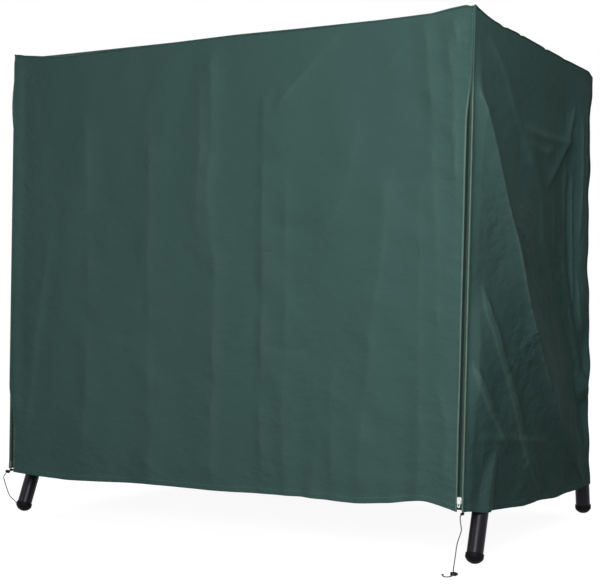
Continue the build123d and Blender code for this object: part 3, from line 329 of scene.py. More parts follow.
powder_coat = finish_of("powder_coat", coat_paint, Specular_IOR_Level=0.15)


def dress(nodes, finish):
    """Gives these CAD nodes a finish."""
    for name in nodes:
        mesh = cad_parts[name].data
        if not mesh.materials:
            mesh.materials.append(finish)
        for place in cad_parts[name].material_slots:
            place.material = finish


dress(["front_leg_left", "front_leg_right", "rear_leg_left", "rear_leg_right", "top_bar",
       "side_stretchers", "rear_stretcher", "apex_bracket_left", "apex_bracket_right",
       "hanger_front_left", "hanger_front_right", "hanger_rear_left", "hanger_rear_right",
       "hanger_eyes", "seat_front_rail", "seat_rear_rail", "seat_side_rails", "back_posts",
       "back_top_rail", "armrests", "canopy_front_tube", "canopy_rear_tube",
       "canopy_side_tubes", "canopy_arms", "seat_slats", "back_slats"], powder_coat)


# ---------------------------------------------------- moulded black plastic
# Foot caps pushed on the leg ends, arm pads, clamp knobs, cord locks with their
# buttons and the hem's mouths: injection moulded, with a fine spark-eroded grain.
def moulded_paint(tree):
    """A fine grain, greyer where it is scuffed near the floor."""
    place = tree.place()
    grain = place.noise(1400.0, 2.0)
    slow = place.noise(30.0, 3.0)
    height = place.split()[2]
    scuff = (1.0 - height.step(0.0, 0.02)) * slow.step(0.45, 0.65)
    tone = slow.colour((0.004, 0.004, 0.005), (0.009, 0.009, 0.010))
    return {"Base Color": scuff.colour(tone, (0.026, 0.025, 0.024)),
            "Roughness": 0.48 + grain * 0.14,
            "Normal": (grain * 0.00012).bump()}


moulded_black = finish_of("moulded_black", moulded_paint, Specular_IOR_Level=0.05)
dress(["foot_cap_front_left", "foot_cap_front_right", "foot_cap_rear_left", "foot_cap_rear_right",
       "arm_pads", "clamp_knob_left", "clamp_knob_right", "cord_lock_left", "cord_lock_right",
       "lock_button_left", "lock_button_right", "hem_mouths"], moulded_black)


# ------------------------------------------------------ bolts, pins, bushes
# Bright zinc-plated bolts, nuts and swing pins hold the frame together. The
# swing pins turn in bushes of milky nylon, turned on a lathe.
def zinc_paint(tree):
    """Plating with cloudy bright and dull spangles and fine turning marks."""
    place = tree.place()
    cloud = place.noise(320.0, 3.0)
    marks = place.noise(2500.0, 1.0, (1.0, 0.15, 0.15))
    return {"Base Color": cloud.colour((0.42, 0.43, 0.43), (0.66, 0.65, 0.62)),
            "Roughness": 0.26 + cloud * 0.16,
            "Normal": (marks * 0.00003).bump()}


def nylon_paint(tree):
    """Milky nylon with faint turning rings."""
    place = tree.place()
    rings = place.noise(1800.0, 1.0, (1.0, 0.1, 0.1))
    return {"Base Color": rings.colour((0.66, 0.64, 0.58), (0.78, 0.77, 0.73)),
            "Roughness": 0.42 + rings * 0.1,
            "Normal": (rings * 0.00004).bump()}


zinc_plate = finish_of("zinc_plate", zinc_paint, Metallic=1.0)
turned_nylon = finish_of("turned_nylon", nylon_paint)
dress(["stand_bolts", "stand_nuts", "swing_pins", "canopy_clamp_bolts", "seat_bolts"], zinc_plate)
dress(["pivot_bushes"], turned_nylon)


# --------------------------------------------------------- weather cover: cloth
# Coated plain-weave polyester in dark green, 1.2 mm thick with its coating,
# sewn from five panels: front, two sides, back and roof.
MM = 1000.0
roof_low, roof_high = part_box("cover_roof")
front_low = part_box("cover_front")[0]
back_low, back_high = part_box("cover_back")
TOP_X, TOP_Y, TOP_Z = roof_high.x, roof_low.y, roof_high.z
FOOT_Y, FOOT_Z = front_low.y, front_low.z
FOOT_X = TOP_X - 0.016
CLOTH, LEAST_STEP = 0.0012, 1e-4
WEAVE, STITCHES = 9500.0, 1570.0


def cloth_paint(tree):
    """Plain weave, broad cloudy tone, faint crumples, fold crests and zip edges painted paler as a painted
    highlight along with wear, and a row of stitches along the hem, all from the cloth's own map in metres."""
    place = tree.place("UV")
    across, up, _ = place.split()
    weave = (across * WEAVE).sine() * (up * WEAVE).sine()
    cloud = place.noise(2.6, 3.0, (1.0, 0.6, 1.0))
    grain = place.noise(140.0, 4.0)
    crumple = place.noise(24.0, 5.0, (0.7, 0.9, 1.0))
    fine = place.noise(75.0, 4.0, (1.0, 0.8, 1.0))
    crisp = tree.add("ShaderNodeAttribute", {"attribute_name": "crumple"}, output="Fac")
    highlight_and_wear_mark = tree.add("ShaderNodeAttribute", {"attribute_name": "rub"}, output="Fac")
    tone = (cloud * 0.65 + grain * 0.35).colour((0.036, 0.076, 0.068), (0.048, 0.094, 0.085))
    # fold crests and zip edges painted pale: painted highlight, partly wear
    tone = highlight_and_wear_mark.colour(tone, (0.118, 0.178, 0.150))
    hem = up.step(0.0190, 0.0196) * (1.0 - up.step(0.0204, 0.0210))
    dash = hem * (across * STITCHES).sine().step(-0.35, 0.1)
    tone = dash.colour(tone, (0.085, 0.145, 0.130))
    pucker = (1.0 - (up - 0.020).maths("ABSOLUTE", up - 0.020).step(0.0, 0.006))
    height = crumple * 0.0160 * (crisp * 0.9 + 0.1) + fine * 0.0016 * (crisp * 0.8 + 0.2)
    height = height + weave * 0.000018 + dash * 0.0003 - pucker * 0.0004
    return {"Base Color": tone,
            "Roughness": 0.52 + cloud * 0.10 + grain * 0.05 + weave * 0.03,
            "Normal": height.bump()}


cover_cloth = finish_of("cover_cloth", cloth_paint, Specular_IOR_Level=0.01)


def cloth_grid(name, points, chart, flip=False, marks=None):
    """A grid of points, rows by columns by three, as one smooth quad mesh. chart is the
    cloth's flat map in metres, and marks are values per point that the finish reads."""
    rows, columns = points.shape[:2]
    number = np.arange(rows * columns, dtype=np.int32).reshape(rows, columns)
    faces = np.stack([number[:-1, :-1], number[:-1, 1:], number[1:, 1:], number[1:, :-1]], -1)
    faces = faces.reshape(-1, 4)
    if flip:
        faces = faces[:, ::-1].copy()
    mesh = bpy.data.meshes.new(name)
    mesh.vertices.add(rows * columns)
    mesh.vertices.foreach_set("co", points.astype(np.float32).ravel())
    mesh.loops.add(faces.size)
    mesh.loops.foreach_set("vertex_index", faces.ravel())
    mesh.polygons.add(len(faces))
    mesh.polygons.foreach_set("loop_start", np.arange(0, faces.size, 4, dtype=np.int32))
    mesh.polygons.foreach_set("use_smooth", np.ones(len(faces), bool))
    mesh.update(calc_edges=True)
    layer = mesh.uv_layers.new(name="UVMap")
    layer.data.foreach_set("uv", chart.reshape(-1, 2)[faces.ravel()].astype(np.float32).ravel())
    for label, values in (marks or {}).items():
        mesh.attributes.new(label, "FLOAT", "POINT").data.foreach_set(
            "value", values.astype(np.float32).ravel())
    return add_object(name, mesh)


def thicken(piece, thickness):
    """Gives a sheet its thickness, inward from the shaped face."""
    layer = piece.modifiers.new("thickness", "SOLIDIFY")
    layer.thickness = thickness
    layer.offset = -1.0
    layer.use_even_offset = False


def soft_line(pairs, where, blur=0.02):
    """A value looked up along (place, value) pairs, both in millimetres, with its corners
    rounded by taking the mean of seven nearby look-ups. The answer is in metres."""
    places, values = np.array(sorted(pairs)).T / MM
    return sum(np.interp(where + k * blur / 3, places, values) for k in range(-3, 4)) / 7


def in_metres(folds):
    """Folds written in millimetres: the points of the line, how high the fold stands,
    and how wide it is ahead of the line and behind it."""
    return [(np.array(line) / MM, high / MM, ahead / MM, behind / MM)
            for line, high, ahead, behind in folds]


def smooth(value, low, high):
    """0 below low, 1 above high, 3t^2 - 2t^3 between."""
    t = np.clip((value - low) / (high - low), 0.0, 1.0)
    return t * t * (3 - 2 * t)


def crease(across, up, line, lift, ahead, behind, round_off=0.004, fade=0.12):
    """A fold's lift round a line of (across, up) points: lift times e to the minus
    distance over a width, which differs ahead of the line and behind it, rounded at
    the top and faded out towards both ends of the line."""
    line = np.array(line, float)
    run = np.r_[0.0, np.cumsum(np.linalg.norm(np.diff(line, axis=0), axis=1))]
    best = np.full(across.shape, 9.0)
    side = np.zeros(across.shape)
    travelled = np.zeros(across.shape)
    for a, b, start in zip(line[:-1], line[1:], run):
        way = b - a
        length = np.linalg.norm(way)
        t = np.clip(((across - a[0]) * way[0] + (up - a[1]) * way[1]) / length ** 2, 0, 1)
        off_x, off_z = across - a[0] - t * way[0], up - a[1] - t * way[1]
        apart = np.hypot(off_x, off_z)
        nearer = apart < best
        best = np.where(nearer, apart, best)
        side = np.where(nearer, way[0] * off_z - way[1] * off_x, side)
        travelled = np.where(nearer, start + t * length, travelled)
    width = np.where(side > 0, ahead, behind)
    ends = smooth(travelled, 0.0, fade) * smooth(run[-1] - travelled, 0.0, fade)
    return lift * ends * np.exp(-(np.sqrt(best ** 2 + round_off ** 2) - round_off) / width)


def ripple(across, up, seed, wide, tall, waves=18):
    """Slow uneven waves, about one high at most: a mean of plane waves with seeded
    directions and phases, wide and tall being their usual lengths each way."""
    dice = np.random.default_rng(seed)
    total = np.zeros(np.broadcast(across, up).shape)
    for _ in range(waves):
        a = dice.normal() * 2 * math.pi / wide
        b = dice.normal() * 2 * math.pi / tall
        total = total + np.sin(across * a + up * b + dice.uniform(0, 2 * math.pi))
    return total / math.sqrt(waves) * 0.7


def folds_lift(across, up, folds, taller=1.0, ahead_by=1.0, behind_by=1.0, round_off=0.004):
    """The lift of several folds together, with their heights and widths scaled."""
    return sum(crease(across, up, line, high * taller, ahead * ahead_by, behind * behind_by, round_off)
               for line, high, ahead, behind in folds)


def fold_line_highlight(across, up, folds, ahead, behind, round_off):
    """1 on the line of each fold, falling off over these widths either side; the cloth is painted paler
    there as a painted highlight.
    """
    return sum(crease(across, up, line, 1.0, ahead, behind, round_off) for line, *_ in folds)


def ridge_highlight_of(lift, across, gain):
    """How far a point stands out as a ridge, which sets how much paler the cloth is painted there as a
    painted highlight: minus the second difference of the lift across the sheet, times the gain and kept
    from 0 to 1."""
    bend = np.zeros(lift.shape)
    step = np.diff(across, axis=1)
    slope = np.diff(lift, axis=1) / np.maximum(step, LEAST_STEP)
    middle = np.maximum((step[:, 1:] + step[:, :-1]) / 2, LEAST_STEP)
    bend[:, 1:-1] = -(slope[:, 1:] - slope[:, :-1]) / middle
    return np.clip(bend * gain, 0.0, 1.0)


def front_corner(z):
    """x and y of the straight upright front edge at a height, on the right."""
    share = (z - FOOT_Z) / (TOP_Z - FOOT_Z)
    return FOOT_X + (TOP_X - FOOT_X) * share, FOOT_Y + (TOP_Y - FOOT_Y) * share


def at_edges(steps, count):
    """Shares from -1 to 1: close steps in from both edges, and count even ones between."""
    inner = 1.0 - steps[-1]
    return np.r_[steps - 1.0, np.linspace(-inner, inner, count)[1:-1], (1.0 - steps)[::-1]]


def hang(piece, node, **cut):
    """Gives a panel its thickness and its cloth. What it was cut to, given in cut, is not used."""
    thicken(piece, CLOTH)
    piece.data.materials.append(cover_cloth)
    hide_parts(node)


HEM_ROWS = np.array([0.0, 0.0012, 0.003, 0.006, 0.010, 0.015, 0.0190, 0.0205, 0.022, 0.0245, 0.030])
EDGE_STEPS = np.array([0.0, 0.0008, 0.0020, 0.0036, 0.0055, 0.0085, 0.013, 0.019])


def rows_from_hem(height, count):
    """Heights above the hem: close rows over the turned hem, then even ones to the top."""
    upper = HEM_ROWS[-1] + (height - HEM_ROWS[-1])[None, :] * np.linspace(0, 1, count)[1:, None]
    return np.concatenate([np.repeat(HEM_ROWS[:, None], len(height), 1), upper])


def hem_roll(above):
    """The turned hem stands 1.4 mm proud over its 20 mm and is pinched by its stitches."""
    proud = 0.0014 * (1 - smooth(above, 0.0205, 0.0255)) * smooth(above, -0.002, 0.002)
    return proud - 0.0009 * np.exp(-((above - 0.0200) / 0.0014) ** 2)


# ------------------------------------------------------ weather cover: front
# The wide front panel hangs from the roof seam between the two zips. Long soft
# folds run down it, with short slanting creases under the top right corner.
FRONT_TOP = [(-1020, 1852), (-994, 1848), (-854, 1833), (-765, 1826), (-577, 1830), (-332, 1833),
             (67, 1839), (338, 1837), (661, 1837), (859, 1841), (926, 1851), (986, 1857), (1006, 1849),
             (1016, 1853), (1024, 1858)]
FRONT_HEM = [(-990, 171), (-944, 169), (-848, 165), (-708, 160), (-311, 175), (-11, 175), (375, 184),
             (591, 179), (725, 191), (855, 211), (920, 198), (968, 188), (990, 180)]
FRONT_EDGE, FLAP_EDGE = 0.0218, 0.0020
FRONT_HALF, FRONT_COLUMNS, PANEL_ROWS = 0.98, 190, 190
FLAP_RISE, SEAM_BLUR = 0.0095, 0.006
FLUTES, FLUTE_PITCH, FLUTE_FADE = ((0.42, 0.16), (0.78, 0.12)), 0.105, 0.16
FLAP_BANDS = {1: (1.46, 1.70, 1.50, 1.72), -1: (0.40, 0.52, 0.34, 0.48)}


def front_edge(z, hand):
    """How far in from the corner line the front panel's edge lies: beside the zip's
    teeth below, and nearly at the corner where its flap closes over the zip's top."""
    return FRONT_EDGE + (FLAP_EDGE - FRONT_EDGE) * smooth(z, *FLAP_BANDS[hand][:2])


def front_flap_rise(edge, z, hand):
    """The flap stands 9.5 mm proud, to clear the slider, and turns in at its edge."""
    turned = 1 - np.exp(-(edge / 0.0022) ** 2)
    rise = FLAP_RISE * smooth(z, *FLAP_BANDS[hand][2:]) * turned
    return rise * np.exp(-(np.maximum(edge - 0.020, 0) / 0.022) ** 2)


FRONT_FOLDS = in_metres([
    ([(-799, 1200), (-833, 903), (-873, 664), (-911, 303)], 3.5, 12, 50),
    ([(-628, 1620), (-609, 1177), (-600, 865), (-602, 555), (-607, 187)], 4.5, 35, 70),
    ([(-326, 1700), (-307, 1246), (-307, 868), (-297, 492), (-286, 160)], 4.5, 28, 40),
    ([(-297, 620), (-245, 560), (-215, 490)], 3, 12, 20),
    ([(-262, 420), (-220, 370), (-190, 310)], 2.5, 12, 20),
    ([(-30, 1840), (-25, 1423), (-50, 1240), (-2, 1018), (2, 506), (0, 160)], 5.5, 16, 45),
    ([(-85, 1800), (-80, 1400), (-100, 1100)], 2.5, 14, 20),
    ([(194, 1700), (196, 1377), (203, 1053), (207, 694), (214, 170)], 5.5, 50, 14),
    ([(298, 1373), (309, 875), (300, 520), (319, 175)], 3, 20, 28),
    ([(560, 1845), (423, 1727), (301, 1615), (218, 1538)], 5, 12, 35),
    ([(218, 1725), (262, 1655), (300, 1600)], 2.2, 12, 16),
    ([(804, 1791), (722, 1696), (646, 1599)], 2.8, 16, 30),
    ([(588, 1534), (561, 1327), (508, 1172), (437, 1086)], 3.5, 16, 40),
    ([(714, 1360), (700, 1134), (673, 878), (646, 639), (620, 398), (609, 160)], 6, 45, 50),
    ([(827, 1300), (832, 1166), (840, 713), (845, 180)], 5, 18, 40),
    ([(500, 700), (504, 450), (508, 170)], 3, 14, 22),
    ([(844, 1860), (855, 1686), (874, 1483), (895, 1147), (909, 700)], 7, 18, 50),
    ([(912, 1860), (948, 1645), (964, 1378), (970, 1200)], 6, 14, 24),
    ([(952, 1875), (962, 1780), (975, 1660)], 8, 6, 14),
    ([(985, 1875), (985, 1790), (990, 1690)], 7, 6, 10),
    ([(905, 660), (940, 500), (945, 430), (930, 220)], 3.5, 14, 26),
    ([(180, 1150), (330, 1128), (460, 1150)], -3.5, 16, 16),
    ([(-520, 735), (-330, 728), (-200, 750)], -3, 18, 16),
    ([(180, 715), (300, 690), (460, 730)], -3.5, 18, 16),
    ([(580, 1105), (605, 1030), (575, 970)], 2.2, 10, 16),
    ([(650, 620), (690, 550), (660, 470)], 2.2, 10, 16)])


def front_lift(x, z):
    """How far the front cloth stands forward of its plane: the folds, slow upright
    waves and small flutes along the hem, all dying out at the seams."""
    bent_x = x + 0.007 * ripple(x, z, 13, 0.6, 0.22)
    bent_z = z + 0.010 * ripple(x, z, 14, 0.25, 0.8)
    lift = folds_lift(bent_x, bent_z, FRONT_FOLDS, 2.0, 1.6, 1.5, 0.007)
    lift = lift * (0.85 + 0.45 * ripple(x, z, 15, 0.3, 0.28))
    lift = lift + 0.0030 * ripple(x, z, 4, 0.42, 2.6) + 0.0016 * ripple(x, z, 9, 0.15, 0.8)
    low = np.exp(-np.maximum(z - 0.18, 0) / FLUTE_FADE)
    flutes = sum(np.exp(-((x - across) / wide) ** 2) for across, wide in FLUTES)
    lift = lift + 0.0045 * low * flutes * np.sin(2 * math.pi * (x - 0.40) / FLUTE_PITCH)
    lift = lift + 0.0025 * low * np.sin(2 * math.pi * x / 0.31 + 0.7)
    calm = smooth(TOP_X - np.abs(x), 0.012, 0.060) * smooth(1.862 - z, 0.004, 0.060)
    return lift * calm


def edge_highlight_share(z):
    """How pale a front corner's edge is painted: a painted highlight along the rolled edge beside the zip,
    partly wear from handling. It is full below 1.5 m, and hardly there above 1.66 m."""
    return 0.12 + 0.88 * smooth(1.66 - z, 0.0, 0.16)


def front_points():
    """The panel's grid: across from zip to zip, up from the hem to the roof seam. Its
    upright edges are turned under, which leaves a roll 1.9 mm proud beside each zip."""
    run = at_edges(EDGE_STEPS / FRONT_HALF, FRONT_COLUMNS)
    hem = soft_line(FRONT_HEM, run * (FOOT_X - FRONT_EDGE))
    top = soft_line(FRONT_TOP, run * (TOP_X - FLAP_EDGE), SEAM_BLUR)
    above = rows_from_hem(top - hem, PANEL_ROWS)
    z = hem[None, :] + above
    corner_x, plane_y = front_corner(z)
    right = run[None, :] > 0
    inset = np.where(right, front_edge(z, 1), front_edge(z, -1))
    x = run[None, :] * (corner_x - inset)
    edge = (1.0 - np.abs(run))[None, :] * FRONT_HALF + 0 * z
    rise = np.where(right, front_flap_rise(edge, z, 1), front_flap_rise(edge, z, -1))
    rise = rise * smooth(top[None, :] - z, 0.0, 0.03)
    roll = 0.0019 * np.exp(-((edge - 0.0034) / 0.0028) ** 2) - 0.0022 * np.exp(-(edge / 0.0010))
    lift = front_lift(x, z)
    y = plane_y - lift - rise - roll - hem_roll(above) * smooth(edge, 0.001, 0.006)
    y = np.maximum(y, plane_y - 0.03)
    chart = np.stack([x, above], -1)
    edge_highlight = np.where(right, edge_highlight_share(z), 1.0)
    # the zip edges, the ridges and the fold lines are painted paler: painted highlight, partly wear
    rub = ridge_highlight_of(lift, x, 0.012) * 0.15 + 0.9 * edge_highlight * np.exp(-((edge - 0.0022) / 0.0026) ** 2)
    ridges = [fold for fold in FRONT_FOLDS if fold[1] > 0]
    rub = rub + 0.035 * fold_line_highlight(x, z, ridges, 0.010, 0.010, 0.003)
    crumple = 0.22 + 0.25 * smooth(np.abs(x), 0.80, 1.0) + 0.15 * np.exp(-above / 0.1)
    crumple = crumple + 0.2 * np.clip(ripple(x, z, 16, 0.35, 0.35), 0, 1)
    return np.stack([x, y, z], -1), chart, {"rub": np.clip(rub, 0, 1), "crumple": crumple}


points, chart, marks = front_points()
front_panel = cloth_grid("front_panel", points, chart, marks=marks)
hang(front_panel, "cover_front", flat=(2.00, 1.68), held="hung", rests_on=["canopy_front_tube"])
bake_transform(front_panel)


# ------------------------------------------------------ weather cover: sides
# Each side panel is wider at the hem than at the roof. Slack cloth falls from
# the front top corner in one long slanting ridge over a deep valley, and the
# stand's legs, stretcher and gussets push it out from behind.
SIDE_TOP = [(-640, 1856), (-580, 1856), (-570, 1851), (-555, 1848), (-491, 1834), (-426, 1824),
            (-299, 1815), (-211, 1811), (38, 1791), (271, 1774), (474, 1761), (517, 1742)]
SIDE_HEM = [(-645, 184), (-600, 182), (-540, 170), (-460, 163), (-140, 136), (50, 130), (190, 121),
            (600, 121)]
REAR_X = [(116, 985), (179, 986), (343, 990), (611, 995), (863, 1001), (1061, 1005), (1219, 1009),
          (1417, 1013), (1653, 1018), (1740, 1020)]
REAR_Y = [(116, 598), (179, 583), (343, 556), (462, 555), (611, 553), (863, 527), (1061, 511),
          (1219, 497), (1417, 503), (1653, 505), (1740, 517)]
RIDGE = [(-575, 1760), (-583, 1706), (-475, 1553), (-405, 1448), (-342, 1336), (-260, 1198),
         (-185, 1080), (-116, 935), (-37, 810), (45, 686), (138, 558), (245, 422), (355, 303),
         (537, 136)]
RIDGE_LIFT = [(120, 4), (300, 24), (500, 46), (700, 58), (900, 62), (1100, 58), (1300, 40), (1450, 24),
              (1600, 10), (1750, 0)]
VALLEY = [(120, 570), (300, 520), (450, 470), (600, 420), (730, 315), (800, 260), (1060, 240),
          (1450, 220), (1800, 220)]
VALLEY_SINK = [(200, 0), (400, 18), (600, 30), (800, 34), (1000, 32), (1400, 18), (1600, 8), (1750, 0)]
REAR_SWELL = [(120, 2), (300, 10), (450, 20), (600, 32), (800, 44), (1000, 44), (1300, 40), (1600, 24),
              (1750, 0)]
RIDGE_FOLD, RIDGE_PINCH = 0.018, 0.0065
# The ridge and the folds are placed as they show from the front right, where cloth
# that stands out by h seems FOLD_SHIFT times h further back than it is.
FOLD_SHIFT = 2.45
SIDE_FOLDS = in_metres([
    ([(-519, 947), (-458, 835), (-390, 765), (-328, 676), (-255, 584), (-189, 477), (-141, 383),
      (-83, 301), (5, 211), (57, 130)], 20, 18, 60),
    ([(-590, 716), (-565, 658), (-491, 583), (-406, 495), (-310, 414), (-247, 348)], 14, 14, 40),
    ([(-482, 1776), (-337, 1653), (-264, 1547), (-152, 1426), (-56, 1325), (-6, 1237), (11, 1055),
      (15, 945)], 11, 14, 40),
    ([(362, 1639), (262, 1507), (136, 1366), (41, 1268)], 12, 10, 28),
    ([(-200, 1500), (-15, 1473), (233, 1467), (336, 1490)], 11, 12, 34),
    ([(-180, 1450), (0, 1415), (160, 1430)], 6, 10, 20),
    ([(224, 1436), (239, 1058), (260, 803), (315, 732), (450, 609), (516, 617)], 10, 10, 28),
    ([(300, 1400), (330, 1050), (340, 800)], 7, 12, 24),
    ([(420, 1600), (430, 1300), (400, 1050)], 7, 12, 24),
    ([(120, 1300), (135, 1120), (130, 980)], 6, 12, 18),
    ([(60, 1020), (110, 930), (190, 860)], 6, 10, 18),
    ([(-60, 860), (20, 900), (110, 840)], 4.5, 8, 14),
    ([(380, 1000), (420, 800), (500, 700)], 7, 10, 20),
    ([(330, 620), (400, 420), (470, 200)], 8, 12, 30),
    ([(-502, 937), (-499, 823)], 5, 10, 16),
    ([(-560, 424), (-300, 405), (0, 366), (140, 352)], 5, 8, 24),
    ([(-483, 420), (-483, 234)], 3, 10, 16),
    ([(0, 470), (0, 321)], 2.5, 8, 14),
    ([(-270, 1180), (-172, 1162), (-89, 1125)], 4.5, 10, 16),
    ([(-261, 1149), (-153, 1124), (-51, 1083)], 4.5, 10, 16),
    ([(-328, 725), (-223, 699), (-133, 688)], 4.5, 10, 16),
    ([(-328, 690), (-240, 658), (-142, 638)], 4.5, 10, 16),
    ([(-276, 632), (-169, 615)], 3.5, 10, 16),
    ([(-561, 1239), (-489, 1226), (-415, 1226)], 3, 10, 16)])
# Crumpled patches: place, height, half width, half height, how strong. Tucks in
# the roof seam: place, half width, depth. Both are in metres.
CRUMPLED = [(-0.20, 1.13, 0.09, 0.10, 0.9), (-0.23, 0.72, 0.10, 0.10, 0.9), (-0.46, 1.18, 0.08, 0.16, 0.5),
            (0.10, 0.90, 0.20, 0.20, 0.4)]
TUCKS = [(-0.350, 0.022, 0.0050), (-0.200, 0.015, 0.0040), (0.030, 0.016, 0.0040), (0.220, 0.030, 0.0020)]


def rear_corner(z):
    """x and y of the rear seam at a height, with the small kinks of a slack seam."""
    kink = np.sin(z * 23.0 + 0.6) * 0.5 + np.sin(z * 41.0 + 2.0) * 0.3 + np.sin(z * 11.0) * 0.4
    calm = smooth(z, 0.12, 0.20) * smooth(1.73 - z, 0.0, 0.08)
    return (soft_line(REAR_X, z, 0.05) + 0.0022 * kink * calm,
            soft_line(REAR_Y, z, 0.05) + 0.0065 * kink * calm)


def side_sheet(y, z):
    """x of the slack-free side panel: straight threads from the front edge to the rear."""
    front_x, front_y = front_corner(z)
    rear_x, rear_y = rear_corner(z)
    return front_x + (rear_x - front_x) * np.clip((y - front_y) / (rear_y - front_y), 0, 1)


def rounded(distance, radius):
    """A distance from a line with its sharp foot rounded over a radius."""
    return np.sqrt(distance ** 2 + radius ** 2) - radius


def side_lift(y, z, hand):
    """How far the side cloth stands out: a ridge that rises from the zip, sharp at its
    crest, drops to a valley and comes back at the rear seam, with folds and ripples.
    Also how far behind the crest each point lies."""
    front_y, rear_y = front_corner(z)[1], rear_corner(z)[1]
    ridge_y = soft_line([(up, across) for across, up in RIDGE], z, 0.05)
    crest, sink, valley_y, swell = (soft_line(pairs, z, 0.06)
                                    for pairs in (RIDGE_LIFT, VALLEY_SINK, VALLEY, REAR_SWELL))
    valley_y = valley_y + FOLD_SHIFT * sink
    if hand < 0:
        # the left side hangs a little flatter, and its ridge slants less
        ridge_y = ridge_y * 0.86 - 0.03 + 0.03 * np.sin(z * 5.0)
        crest, valley_y, sink = crest * 0.8, valley_y - 0.03, sink * 0.8
    fold_lift = RIDGE_FOLD * smooth(1.76 - z, 0.0, 0.2) * smooth(z, 0.12, 0.25)
    ridge_y = ridge_y - FOLD_SHIFT * (crest + fold_lift + 0.003)
    bow = 0.45 + 1.0 * smooth(z, 0.70, 1.10)
    ahead = np.clip((y - front_y) / (ridge_y - front_y), 0, 1)
    rising = crest * ahead ** bow
    behind = np.clip((y - ridge_y) / np.maximum(valley_y - ridge_y, 0.02), 0, 1)
    falling = -sink + (crest + sink) * (1 - behind) ** 1.15
    back = np.clip((y - valley_y) / np.maximum(rear_y - valley_y, 0.02), 0, 1)
    rising_again = -sink * (1 - back ** 1.5)
    lift = np.where(y < ridge_y, rising, np.where(y < valley_y, falling, rising_again))
    from_ridge = y - ridge_y
    pinch = RIDGE_PINCH * smooth(1.20 - z, 0.0, 0.4) * smooth(z, 0.12, 0.25)
    lift = lift + pinch * np.exp(-rounded(from_ridge, 0.002) / 0.011)
    lift = lift + fold_lift * np.exp(-rounded(from_ridge, 0.003) / np.where(from_ridge > 0, 0.020, 0.060))
    lift = lift + swell * smooth(y, valley_y, valley_y + 0.19) * smooth(rear_y - y, 0.0, 0.10)
    folds = SIDE_FOLDS if hand > 0 else [
        (line * (0.93, 0.97) + (-0.02, 0.03), high * 0.8, wide, thin)
        for line, high, thin, wide in SIDE_FOLDS]
    seen_y = y + FOLD_SHIFT * lift
    lift = lift + folds_lift(seen_y, z, folds)
    seed = 21 if hand > 0 else 35
    busy = smooth(1.75 - z, 0.0, 0.3)
    lift = lift + busy * (0.0045 * ripple(y, z, seed, 0.34, 0.7)
                          + 0.0007 * ripple(y, z, seed + 1, 0.11, 0.12))
    low = np.exp(-np.maximum(z - 0.13, 0) / 0.15)
    lift = lift + 0.005 * low * np.sin(2 * math.pi * (y - 0.1) / 0.23) * smooth(y, -0.2, 0.1)
    calm = smooth(y - front_y, 0.0, 0.030) * smooth(rear_y - y, 0.0, 0.040) * smooth(1.84 - z, 0.0, 0.12)
    return lift * calm, from_ridge


LEG_R, LEG_TOP = 0.0285, 1.52
FRONT_LEG_Y, REAR_LEG_Y = (-0.561, 0.398), (0.068, 0.41)
APEX_Y, APEX_Z, GUSSET_Z = 0.068, 1.58, 1.49
STRETCHER_Z, TIE_Z = 0.4448, 0.520


def clear_of_stand(x, y, z):
    """Keeps the cloth off the legs, the stretcher, the tie bolt's head and the gusset: it
    may not lie lower than a tent over each, which is the outer face plus about 5 mm,
    falling off either side."""
    front_leg = FRONT_LEG_Y[0] + FRONT_LEG_Y[1] * z
    rear_leg = REAR_LEG_Y[0] + (APEX_Z - z) * REAR_LEG_Y[1]
    beside_legs, everywhere = z < LEG_TOP, z > -1
    # each tent's top, the distance from its flat part, its fall and where it stands
    tents = (
        (1.006 - 0.0339 * z + LEG_R + 0.0035, np.abs(y - front_leg) * 0.93 - 0.012, 0.42, beside_legs),
        (0.9525 + LEG_R + 0.005, np.abs(y - rear_leg) * 0.93 - 0.012, 0.40, beside_legs),
        (1.0063 - 0.0378 * (y + 0.366) / 0.873 + 0.005, np.abs(z - STRETCHER_Z) - 0.010, 0.45,
         (y > -0.45) & (y < 0.56)),
        (1.0066, np.hypot(y - rear_leg, z - TIE_Z) - 0.016, 0.45, everywhere),
        (0.9965, np.maximum(np.abs(y - APEX_Y) - 0.10, np.abs(z - GUSSET_Z) - 0.13), 0.4, everywhere))
    need = np.zeros(x.shape)
    for top, apart, fall, inside in tents:
        need = np.maximum(need, np.where(inside, top - fall * np.maximum(apart, 0), 0))
    soft = 0.004
    return (x + need + np.sqrt((x - need) ** 2 + soft ** 2)) / 2


SIDE_DEPTH, SIDE_COLUMNS, SIDE_BLUR = 1.15, 230, 0.012
REAR_HEM_Y, REAR_TOP_Y = 0.600, 0.517


